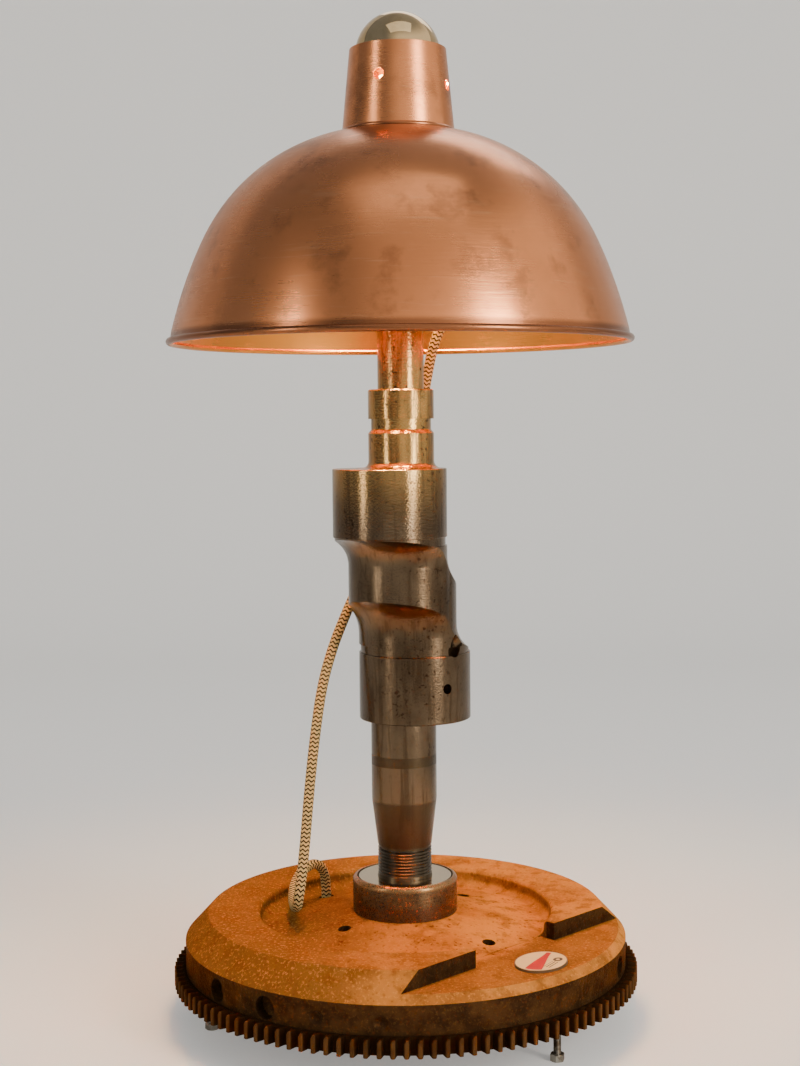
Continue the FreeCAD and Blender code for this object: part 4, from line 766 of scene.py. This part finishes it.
gear_steel = gear_finish()
tooth = skin("RingGear", [
    tooth_ring(GEAR_LOW, TOOTH_END_EDGE),
    tooth_ring(GEAR_LOW + TOOTH_END_EDGE, 0.0),
    tooth_ring(GEAR_HIGH - LEAD_IN_HEIGHT, 0.0),
    tooth_ring(GEAR_HIGH - TOOTH_END_EDGE, 0.0, LEAD_IN_WIDTH),
    tooth_ring(GEAR_HIGH, TOOTH_END_EDGE, LEAD_IN_WIDTH + TOOTH_END_EDGE),
])
ring_gear = repeat_round(tooth, gear_steel, GEAR_TEETH, 0.0)
band = []
turns = [2 * math.pi * step / GEAR_BAND_STEPS for step in range(GEAR_BAND_STEPS)]
for radius, height in ((GEAR_SEAT, GEAR_LOW), (GEAR_ROOT - BAND_EDGE, GEAR_LOW),
                       (GEAR_ROOT, GEAR_LOW + BAND_EDGE), (GEAR_ROOT, GEAR_HIGH - BAND_EDGE),
                       (GEAR_ROOT - BAND_EDGE, GEAR_HIGH), (GEAR_SEAT, GEAR_HIGH)):
    band.append([(radius * math.cos(turn), radius * math.sin(turn), height) for turn in turns])
gear_band = skin("GearBand", band, looped=True)
whole = bmesh.new()
whole.from_mesh(ring_gear.data)
whole.from_mesh(gear_band.data)
whole.to_mesh(ring_gear.data)
whole.free()
bpy.data.objects.remove(gear_band)
stand_for(ring_gear, "ring_gear")


# Flywheel. An iron casting, turned on its seats and its rim, drilled for balance, rusted orange and
# then lacquered. Its pocket keeps the sand mould's grain; its rim is dark and greasy.

POCKET_RADIUS = 0.096
CHAMFER_FOOT = 0.054
STEP_FLOOR = 0.059


def rusted_casting_finish():
    """Orange rust in clouds, with golden grains and dark pits, and greasy rim sides; painted shade darkens
    the top's left, the walls and the drillings, and painted bulb light brightens the pocket floor.
    """
    material, tree, shader = new_finish("LacqueredRust")
    marks = place_effect(tree, stains, Stain_Size=0.050, Speck_Size=0.0020, Shift=0.0)
    small = place_effect(tree, stains, Stain_Size=0.012, Speck_Size=0.0009, Shift=9.0)
    skin_marks = place_effect(tree, cast_grain, Grain_Size=0.0019)
    _, parts, flat = object_places(tree)
    radius = vector_length(tree, flat)
    normal = add_node(tree, "ShaderNodeTexCoord").outputs["Normal"]
    facing = add_node(tree, "ShaderNodeSeparateXYZ", {0: normal}).outputs[2]
    pocket_wall = multiply(tree, fade(tree, radius, POCKET_RADIUS - 0.013, POCKET_RADIUS - 0.010),
                         fade(tree, radius, POCKET_RADIUS + 0.0005, POCKET_RADIUS + 0.0035, 1.0, 0.0))
    # Faces that turn away from the top take the dark side colour: the greasy turned rim has it for real, and
    # on the walls of the steps and the pocket it is painted shade.
    sides_and_shaded_walls = multiply(tree, fade(tree, facing, 0.25, 0.60, 1.0, 0.0),
                     fade(tree, pocket_wall, 0.0, 1.0, 1.0, 0.35))
    # Painted shade: the insides of the balance drillings are darkened to the side colour.
    painted_shade_in_drillings = multiply(tree, fade(tree, radius, POCKET_RADIUS, POCKET_RADIUS + 0.001),
                     fade(tree, parts[2], CHAMFER_FOOT - 0.001, CHAMFER_FOOT, 1.0, 0.0))
    sides_and_shaded_walls = sum_up(tree, "MAXIMUM", sides_and_shaded_walls, painted_shade_in_drillings)
    pocket = fade(tree, radius, POCKET_RADIUS - 0.010, POCKET_RADIUS + 0.004, 1.0, 0.0)
    # This share across the lamp is painted light: high in the middle and on the right, where the bulb's
    # light falls, and low on the left.
    middle = fade(tree, parts[0], -0.075, 0.020)
    cloud = fade(tree, marks["Stain"], 0.38, 0.62)
    land = blend_colours(tree, cloud, (0.40, 0.180, 0.038, 1), (0.22, 0.096, 0.021, 1))
    # Painted light: the pocket floor's brighter orange, kept to the middle and right of the pocket, is a
    # pool of the bulb's light painted on.
    painted_lit_floor = blend_colours(tree, cloud, (0.56, 0.225, 0.038, 1), (0.38, 0.146, 0.025, 1))
    top = blend_colours(tree, multiply(tree, pocket, middle), land, painted_lit_floor)
    # Painted shade: the left of the top is darkened towards a dark brown.
    top = blend_colours(tree, fade(tree, middle, 0.0, 1.0, 0.85, 0.0), top, (0.115, 0.058, 0.014, 1))
    lowered = fade(tree, parts[2], STEP_FLOOR + 0.0005, STEP_FLOOR + 0.0015, 1.0, 0.0)
    lowered = multiply(tree, lowered, fade(tree, facing, 0.85, 0.95))
    lowered = multiply(tree, lowered, fade(tree, pocket, 0.0, 1.0, 0.6, 0.0))
    top = blend_colours(tree, lowered, top, (0.125, 0.056, 0.012, 1))
    patch = multiply(tree, fade(tree, small["Stain"], 0.48, 0.64), 0.55)
    top = blend_colours(tree, patch, top, (0.125, 0.048, 0.010, 1))
    side = blend_colours(tree, fade(tree, small["Stain"], 0.35, 0.65), (0.058, 0.028, 0.010, 1),
                         (0.028, 0.014, 0.006, 1))
    colour = blend_colours(tree, sides_and_shaded_walls, top, side)
    on_top = fade(tree, sides_and_shaded_walls, 0.0, 1.0, 1.0, 0.14)
    grains = multiply(tree, fade(tree, skin_marks["Grain"], 0.53, 0.64), on_top)
    bright = blend_colours(tree, multiply(tree, grains, 0.38), colour, (0.64, 0.30, 0.060, 1))
    sandy = multiply(tree, pocket, fade(tree, small["Stain"], 0.42, 0.60))
    deep = fade(tree, skin_marks["Pit"], 0.0, 0.55, 1.0, 0.0)
    dirt = multiply(tree, deep, fade(tree, sandy, 0.0, 1.0, 0.35, 0.90))
    rough = multiply(tree, skin_marks["Grain"], fade(tree, pocket, 0.0, 1.0, 0.6, 1.4))
    height = sum_up(tree, "ADD", rough, multiply(tree, skin_marks["Pit"], 0.35))
    set_inputs(tree, shader, {
        "Base Color": blend_colours(tree, dirt, bright, (0.110, 0.026, 0.007, 1)),
        "Roughness": fade(tree, small["Speck"], 0.35, 0.65, 0.36, 0.58),
        "Metallic": fade(tree, sides_and_shaded_walls, 0.0, 1.0, 0.0, 0.45),
        "Specular IOR Level": 0.0,
        "Specular Tint": (0.70, 0.45, 0.25, 1),
        "Normal": bump_from(tree, height, 0.85, 0.6),
    })
    return material


give(softened("flywheel", 0.9), rusted_casting_finish())


# Hub collar and disc. A turned steel collar, varnished brown by heat and lacquer, with a ground and
# polished steel disc let into its top round the shaft's thread.

COLLAR_TOP = 0.0914


def collar_finish():
    """Turned steel, rusted on its lip and banded down its side, under brown lacquer."""
    material, tree, shader = new_finish("VarnishedCollar")
    marks = place_effect(tree, stains, Stain_Size=0.014, Speck_Size=0.0011, Shift=3.0)
    lines = place_effect(tree, turned_lines, Line_Width=0.0012, Break_Up=1.5)
    level = object_places(tree)[1][2]
    lip = fade(tree, level, COLLAR_TOP - 0.0045, COLLAR_TOP - 0.0028)
    foot = fade(tree, level, COLLAR_TOP - 0.0155, COLLAR_TOP - 0.0135, 1.0, 0.0)
    side = blend_colours(tree, fade(tree, marks["Stain"], 0.36, 0.66), (0.190, 0.100, 0.040, 1),
                         (0.100, 0.055, 0.024, 1))
    side = blend_colours(tree, multiply(tree, foot, 0.8), side, (0.115, 0.052, 0.022, 1))
    side = blend_colours(tree, multiply(tree, lip, 0.8), side, (0.34, 0.185, 0.070, 1))
    rust = multiply(tree, fade(tree, marks["Speck"], 0.58, 0.70), 0.6)
    height = sum_up(tree, "ADD", multiply(tree, marks["Speck"], 0.5), lines["Line"])
    set_inputs(tree, shader, {
        "Base Color": blend_colours(tree, rust, side, (0.055, 0.022, 0.010, 1)),
        "Roughness": fade(tree, marks["Speck"], 0.35, 0.7, 0.22, 0.42),
        "Metallic": 0.75,
        "Normal": bump_from(tree, height, 0.5, 0.2),
    })
    return material


def polished_finish():
    material, tree, shader = new_finish("PolishedDiscSteel")
    lines = place_effect(tree, turned_lines, Line_Width=0.0006, Break_Up=0.6)
    set_inputs(tree, shader, {
        "Base Color": blend_colours(tree, lines["Line"], (0.58, 0.44, 0.28, 1), (0.76, 0.60, 0.40, 1)),
        "Roughness": fade(tree, lines["Line"], 0.3, 0.7, 0.10, 0.22),
        "Metallic": 1.0,
    })
    return material


give(softened("hub_collar", 0.4), collar_finish())
give(softened("polished_disc", 0.3), polished_finish())


# Column. The engine's forged and ground eccentric shaft, its two lobes set across from each other,
# browned and lacquered, with a threaded end in the hub and its snout up in the shade.

BAND_LOW = 0.1655
BAND_HIGH = 0.1730
TAPER_TOP = 0.1432
THREAD_TOP = 0.1099
# Heights between which the painted bulb light on the upper shaft fades in.
PAINTED_BULB_LIGHT_LOW = 0.320
PAINTED_BULB_LIGHT_HIGH = 0.385


def ground_shaft_finish():
    """Ground steel under brown lacquer, thick on the taper and on a band of the journal above it; painted
    gold towards the top for the bulb's light on it.
    """
    material, tree, shader = new_finish("BrownedShaft")
    streaks = place_effect(tree, stains, Stain_Size=0.0045, Speck_Size=0.0013, Shift=1.0, Stretch=14.0)
    patches = place_effect(tree, stains, Stain_Size=0.040, Speck_Size=0.0030, Shift=4.0, Stretch=1.5)
    lines = place_effect(tree, turned_lines, Line_Width=0.0009, Break_Up=1.0)
    level = object_places(tree)[1][2]
    band = multiply(tree, fade(tree, level, BAND_LOW, BAND_LOW + 0.0008),
                  fade(tree, level, BAND_HIGH - 0.0008, BAND_HIGH, 1.0, 0.0))
    taper = fade(tree, level, TAPER_TOP - 0.0020, TAPER_TOP + 0.0002, 1.0, 0.0)
    taper = multiply(tree, taper, fade(tree, level, THREAD_TOP, THREAD_TOP + 0.0008))
    lacquer = sum_up(tree, "MAXIMUM", band, taper)
    base = blend_colours(tree, fade(tree, patches["Stain"], 0.36, 0.64), (0.165, 0.112, 0.066, 1),
                         (0.098, 0.064, 0.036, 1))
    # Painted light: the upper shaft's gold is the bulb's warm light painted into its colour.
    bulb_lit_gold = blend_colours(tree, fade(tree, patches["Stain"], 0.36, 0.64), (0.58, 0.340, 0.110, 1),
                           (0.40, 0.230, 0.072, 1))
    base = blend_colours(tree, fade(tree, level, PAINTED_BULB_LIGHT_LOW, PAINTED_BULB_LIGHT_HIGH), base, bulb_lit_gold)
    threaded = fade(tree, level, THREAD_TOP, THREAD_TOP + 0.0008, 1.0, 0.0)
    base = blend_colours(tree, threaded, base, (0.100, 0.078, 0.052, 1))
    dark = multiply(tree, fade(tree, streaks["Stain"], 0.50, 0.66), 0.55)
    base = blend_colours(tree, dark, base, (0.046, 0.026, 0.012, 1))
    base = blend_colours(tree, multiply(tree, lacquer, 0.85), base, (0.066, 0.044, 0.023, 1))
    pits = multiply(tree, fade(tree, patches["Speck"], 0.60, 0.68),
                  fade(tree, patches["Stain"], 0.46, 0.60, 0.15, 0.9))
    dull = multiply(tree, sum_up(tree, "MAXIMUM", lacquer, threaded), 0.16)
    rough = sum_up(tree, "ADD", fade(tree, streaks["Stain"], 0.4, 0.7, 0.13, 0.24), dull)
    height = sum_up(tree, "ADD", streaks["Speck"], multiply(tree, lines["Line"], 0.3))
    set_inputs(tree, shader, {
        "Base Color": blend_colours(tree, pits, base, (0.030, 0.014, 0.006, 1)),
        "Roughness": rough,
        "Metallic": 0.95,
        "Normal": bump_from(tree, height, 0.8, 0.16),
    })
    return material


give(softened("eccentric_shaft", 0.4), ground_shaft_finish())


# Lampholder. Brass parts on a threaded tube: a plug in the shaft's end, the holder's cup and
# sleeve, the bush for the cord, and two rings that clamp the shade's spider between them.

aged_brass = mottled_finish("AgedBrass", sizes=(0.012, 0.001), shift=6.0, span=(0.35, 0.65),
                            colours=((0.70, 0.49, 0.20, 1), (0.36, 0.22, 0.09, 1)),
                            roughness=(0.3, 0.7, 0.25, 0.42), metallic=1.0)
brass_tree = aged_brass.node_tree
brass_lines = place_effect(brass_tree, turned_lines, Line_Width=0.0005, Break_Up=2.0)
set_inputs(brass_tree, brass_tree.nodes["Principled BSDF"], {
    "Normal": bump_from(brass_tree, brass_lines["Line"], 0.3, 0.1)})
for node in ("stem_plug", "stem_tube", "stem_nuts", "holder_cap", "cord_outlet", "holder_sleeve",
             "lower_shade_ring", "upper_shade_ring"):
    give(softened(node, 0.3), aged_brass)


def glazed_finish():
    material, tree, shader = new_finish("GlazedCeramic")
    marks = place_effect(tree, stains, Stain_Size=0.006, Speck_Size=0.0008, Shift=4.0)
    set_inputs(tree, shader, {
        "Base Color": blend_colours(tree, marks["Speck"], (0.82, 0.79, 0.71, 1), (0.90, 0.88, 0.82, 1)),
        "Roughness": fade(tree, marks["Stain"], 0.3, 0.7, 0.12, 0.22),
    })
    return material


nickel = mottled_finish("NickelledContact", sizes=(0.006, 0.0008), shift=8.0, span=None,
                        colours=((0.80, 0.74, 0.58, 1), (0.62, 0.58, 0.48, 1)),
                        roughness=(0.3, 0.7, 0.16, 0.32), metallic=1.0)
give(cad["holder_insert"], glazed_finish())
for node in ("screw_shell", "centre_contact", "bulb_contact", "filament_carriers", "switch_terminals",
             "plug_pins", "plug_earth_clips"):
    give(cad[node], nickel)


# Shade. A dome spun from copper sheet with its rim rolled over a wire, and a tapered copper neck
# brazed onto it; satin from the polishing cloth, with brown patina left in patches.

SHEET = 1.2
SEAM_HEIGHT = 575.6
LIP_RADIUS = 33.5
CROWN_CENTRE = (14.02, 452.23)
CROWN_RADIUS = 125.34
FLANK_CENTRE = (-163.37, 370.67)
FLANK_RADIUS = 320.6
SHOULDER = (127.9, 504.6)
SKIRT = (147.5, 449.0)
SEAM_RADIUS = 36.2
BEAD_CENTRE = (148.8, 442.6)
BEAD_RADIUS = 2.2
BEAD_START = math.radians(108)
BEAD_SWEEP = math.radians(-330)
BEAD_STEPS = 20
CROWN_STEPS = 22
FLANK_STEPS = 14
SPIN_SEGMENTS = 180
SWAY = 0.35
DENT = 0.10
RIM_BROWN_LOW = 0.4462
RIM_BROWN_HIGH = 0.4500


def arc_points(centre, radius, start, end, count):
    """Points along an arc between two points, without the first."""
    begin = math.atan2(start[1] - centre[1], start[0] - centre[0])
    finish = math.atan2(end[1] - centre[1], end[0] - centre[0])
    angles = [begin + (finish - begin) * step / count for step in range(1, count + 1)]
    return [(centre[0] + radius * math.cos(a), centre[1] + radius * math.sin(a)) for a in angles]


def spun_dome():
    """The dome's closed outline turned round the axis, with the sheet's slight waviness."""
    seam = (SEAM_RADIUS, SEAM_HEIGHT)
    outline = [(LIP_RADIUS, SEAM_HEIGHT), seam]
    outline += arc_points(CROWN_CENTRE, CROWN_RADIUS, seam, SHOULDER, CROWN_STEPS)
    outline += arc_points(FLANK_CENTRE, FLANK_RADIUS, SHOULDER, SKIRT, FLANK_STEPS)
    for step in range(BEAD_STEPS + 1):
        angle = BEAD_START + BEAD_SWEEP * step / BEAD_STEPS
        outline.append((BEAD_CENTRE[0] + BEAD_RADIUS * math.cos(angle),
                        BEAD_CENTRE[1] + BEAD_RADIUS * math.sin(angle)))
    inner_skirt = (SKIRT[0] - SHEET, SKIRT[1] - 1.0)
    outline += arc_points(FLANK_CENTRE, FLANK_RADIUS - SHEET, inner_skirt, SHOULDER, FLANK_STEPS)
    outline += arc_points(CROWN_CENTRE, CROWN_RADIUS - SHEET, SHOULDER, seam, CROWN_STEPS)
    outline.append((LIP_RADIUS, SEAM_HEIGHT - SHEET))
    rings = []
    for radius, height in outline:
        ring = []
        for step in range(SPIN_SEGMENTS):
            angle = 2 * math.pi * step / SPIN_SEGMENTS
            sway = noise.noise(Vector((math.cos(angle) * 1.6, math.sin(angle) * 1.6, height * 0.022)))
            dent = noise.noise(Vector((math.cos(angle) * 5.0, math.sin(angle) * 5.0, height * 0.06 + 7.0)))
            reach = radius + (sway * SWAY + dent * DENT) * min(1.0, (radius - LIP_RADIUS) / 30)
            ring.append((reach * math.cos(angle), reach * math.sin(angle), height))
        rings.append(ring)
    return skin("SpunDome", rings, looped=True)


def copper_finish():
    """Brushed copper, brown along its rim and seam, and on the inside a brighter orange that is painted
    light from the bulb.
    """
    material, tree, shader = new_finish("SatinCopper")
    marks = place_effect(tree, stains, Stain_Size=0.09, Speck_Size=0.0016, Shift=1.0)
    cloud = place_effect(tree, stains, Stain_Size=0.028, Speck_Size=0.0006, Shift=12.0)
    lines = place_effect(tree, turned_lines, Line_Width=0.0006, Break_Up=5.0)
    scratches = place_effect(tree, turned_lines, Line_Width=0.0016, Break_Up=4.0)
    _, parts, flat = object_places(tree)
    level = parts[2]
    normal = add_node(tree, "ShaderNodeTexCoord").outputs["Normal"]
    outward = add_node(tree, "ShaderNodeVectorMath", {0: normal, 1: flat},
                       operation="DOT_PRODUCT").outputs["Value"]
    inside = sum_up(tree, "LESS_THAN", outward, 0.0)
    clean = blend_colours(tree, fade(tree, marks["Stain"], 0.36, 0.64), (0.82, 0.305, 0.120, 1),
                          (0.66, 0.240, 0.094, 1))
    brown = multiply(tree, fade(tree, cloud["Stain"], 0.52, 0.70), 0.40)
    rim = fade(tree, level, RIM_BROWN_LOW, RIM_BROWN_HIGH, 0.80, 0.0)
    from_seam = sum_up(tree, "ABSOLUTE", sum_up(tree, "SUBTRACT", level, SEAM_HEIGHT * MM))
    seam = fade(tree, from_seam, 0.0004, 0.0022, 0.75, 0.0)
    brown = sum_up(tree, "MAXIMUM", brown, sum_up(tree, "MAXIMUM", rim, seam))
    worn = blend_colours(tree, brown, clean, (0.20, 0.075, 0.035, 1))
    streak = multiply(tree, fade(tree, scratches["Line"], 0.56, 0.74), 0.22)
    worn = blend_colours(tree, streak, worn, (0.90, 0.48, 0.25, 1))
    # Painted light: the inside's brighter orange stands for the bulb's light on it.
    bulb_lit_inside = blend_colours(tree, cloud["Stain"], (0.95, 0.36, 0.060, 1), (0.78, 0.27, 0.042, 1))
    rough = fade(tree, marks["Stain"], 0.3, 0.7, 0.15, 0.27)
    rough = sum_up(tree, "ADD", rough, multiply(tree, lines["Line"], 0.10))
    height = sum_up(tree, "ADD", lines["Line"], multiply(tree, scratches["Line"], 0.7))
    set_inputs(tree, shader, {
        "Base Color": blend_colours(tree, inside, worn, bulb_lit_inside),
        "Roughness": rough,
        "Metallic": 1.0,
        "Normal": bump_from(tree, height, 0.45, 0.12),
    })
    return material


copper = copper_finish()
stand_for(give(spun_dome(), copper), "shade_dome")
give(softened("shade_neck", 0.35), copper)
give(softened("shade_spider", 0.3), copper)
give(cad["rim_wire"], plated)


# Bulb. Clear glass below its widest ring and a silvered crown above it, on a screw cap, with four
# long filaments on a glass stem.

def plain_finish(name, values):
    material, tree, shader = new_finish(name)
    set_inputs(tree, shader, values)
    return material


glass = plain_finish("ClearGlass", {
    "Base Color": (1.0, 0.98, 0.94, 1), "Roughness": 0.02, "IOR": 1.45, "Transmission Weight": 1.0})
silvered = mottled_finish("SilveredCrown", sizes=(0.016, 0.001), shift=3.0, span=(0.4, 0.7),
                          colours=((0.70, 0.50, 0.27, 1), (0.58, 0.40, 0.20, 1)),
                          roughness=(0.4, 0.75, 0.03, 0.12), metallic=1.0)
glowing = plain_finish("GlowingFilament", {
    "Base Color": (0.95, 0.62, 0.22, 1), "Emission Color": (1.0, 0.60, 0.22, 1), "Emission Strength": 12.0})
cap_alloy = mottled_finish("RolledCapAlloy", sizes=(0.008, 0.0009), shift=7.0, span=None,
                           colours=((0.74, 0.72, 0.66, 1), (0.56, 0.52, 0.44, 1)),
                           roughness=(0.3, 0.7, 0.22, 0.40), metallic=1.0)
for node, finish in (("bulb_glass", glass), ("bulb_stem", glass), ("bulb_mirror_crown", silvered),
                     ("bulb_filaments", glowing), ("bulb_cap", cap_alloy)):
    give(cad[node], finish)


# Badge. A small domed enamel oval stuck on the lowered step, its length along the rim: cream ground, a
# red band that widens to one end, and a dark cog with three bars beside it, of no maker.

BADGE_PLACE = (82.64, -87.70, 59.8)
BADGE_HALF_LENGTH = 19.3
BADGE_HALF_WIDTH = 15.2
BADGE_TURN = math.radians(57)


def enamel_finish():
    """The badge's drawing in shares of its half length and half width, under clear enamel."""
    material, tree, shader = new_finish("BadgeEnamel")
    places, _, _ = object_places(tree)
    middle = tuple(value * MM for value in BADGE_PLACE)
    moved = add_node(tree, "ShaderNodeVectorMath", {0: places, 1: middle}, operation="SUBTRACT").outputs[0]
    turned = add_node(tree, "ShaderNodeVectorRotate", {"Vector": moved, "Angle": -BADGE_TURN}).outputs[0]
    parts = add_node(tree, "ShaderNodeSeparateXYZ", {0: turned}).outputs
    along = sum_up(tree, "DIVIDE", parts[0], BADGE_HALF_LENGTH * MM)
    across = sum_up(tree, "DIVIDE", parts[1], BADGE_HALF_WIDTH * MM)

    def distance(shift_along, shift_across):
        shifted = {0: sum_up(tree, "ADD", along, shift_along), 1: sum_up(tree, "ADD", across, shift_across)}
        return vector_length(tree, add_node(tree, "ShaderNodeCombineXYZ", shifted).outputs[0])

    def within(value, shift, limit):
        off = sum_up(tree, "ABSOLUTE", sum_up(tree, "ADD", value, shift))
        return sum_up(tree, "LESS_THAN", off, limit)

    radius = distance(0.0, 0.0)
    inside = fade(tree, radius, 0.88, 0.90, 1.0, 0.0)
    wedge = sum_up(tree, "ADD", across, multiply(tree, along, -0.25))
    width = fade(tree, along, -0.9, 0.9, 0.34, 0.10)
    red = multiply(tree, within(wedge, 0.0, width), inside)
    cog = within(distance(-0.42, 0.48), -0.13, 0.055)
    bar_rows = sum_up(tree, "PINGPONG", sum_up(tree, "ADD", across, 0.40), 0.06)
    bars = multiply(tree, within(along, 0.12, 0.30), sum_up(tree, "LESS_THAN", bar_rows, 0.024))
    bars = multiply(tree, bars, within(across, 0.55, 0.15))
    dark = multiply(tree, sum_up(tree, "MAXIMUM", cog, bars), inside)
    marks = place_effect(tree, stains, Stain_Size=0.010, Speck_Size=0.0010, Shift=2.5)
    cream = blend_colours(tree, marks["Stain"], (0.80, 0.62, 0.30, 1), (0.64, 0.46, 0.21, 1))
    with_red = blend_colours(tree, red, cream, (0.46, 0.012, 0.010, 1))
    with_dark = blend_colours(tree, dark, with_red, (0.07, 0.045, 0.03, 1))
    edge = fade(tree, radius, 0.955, 0.975)
    set_inputs(tree, shader, {
        "Base Color": blend_colours(tree, edge, with_dark, (0.12, 0.075, 0.04, 1)),
        "Roughness": 0.30,
        "Specular IOR Level": 0.05,
    })
    return material


give(softened("badge", 0.5), enamel_finish())


# Plastic and rubber. The in-line switch, the plug, the bulb's insulator and the grommet in the
# flywheel's cord hole are moulded black.

def moulded_finish(name, colour, roughness):
    material, tree, shader = new_finish(name)
    marks = place_effect(tree, stains, Stain_Size=0.02, Speck_Size=0.0006, Shift=4.0)
    tint = tuple(channel * 1.6 for channel in colour[:3]) + (1,)
    set_inputs(tree, shader, {
        "Base Color": blend_colours(tree, marks["Stain"], colour, tint),
        "Roughness": fade(tree, marks["Speck"], 0.3, 0.7, roughness, roughness + 0.14),
        "Normal": bump_from(tree, marks["Speck"], 0.12, 0.1),
    })
    return material


moulded = moulded_finish("MouldedBlack", (0.018, 0.017, 0.016, 1), 0.42)
glossy = moulded_finish("GlossyBlack", (0.024, 0.022, 0.021, 1), 0.18)
for node in ("switch_lower_shell", "switch_upper_shell", "plug_body"):
    give(softened(node, 0.9), moulded)
give(softened("switch_rocker", 0.35, body="rocker"), glossy)
give(cad["cord_grommet"], moulded)
give(cad["bulb_insulator"], glossy)
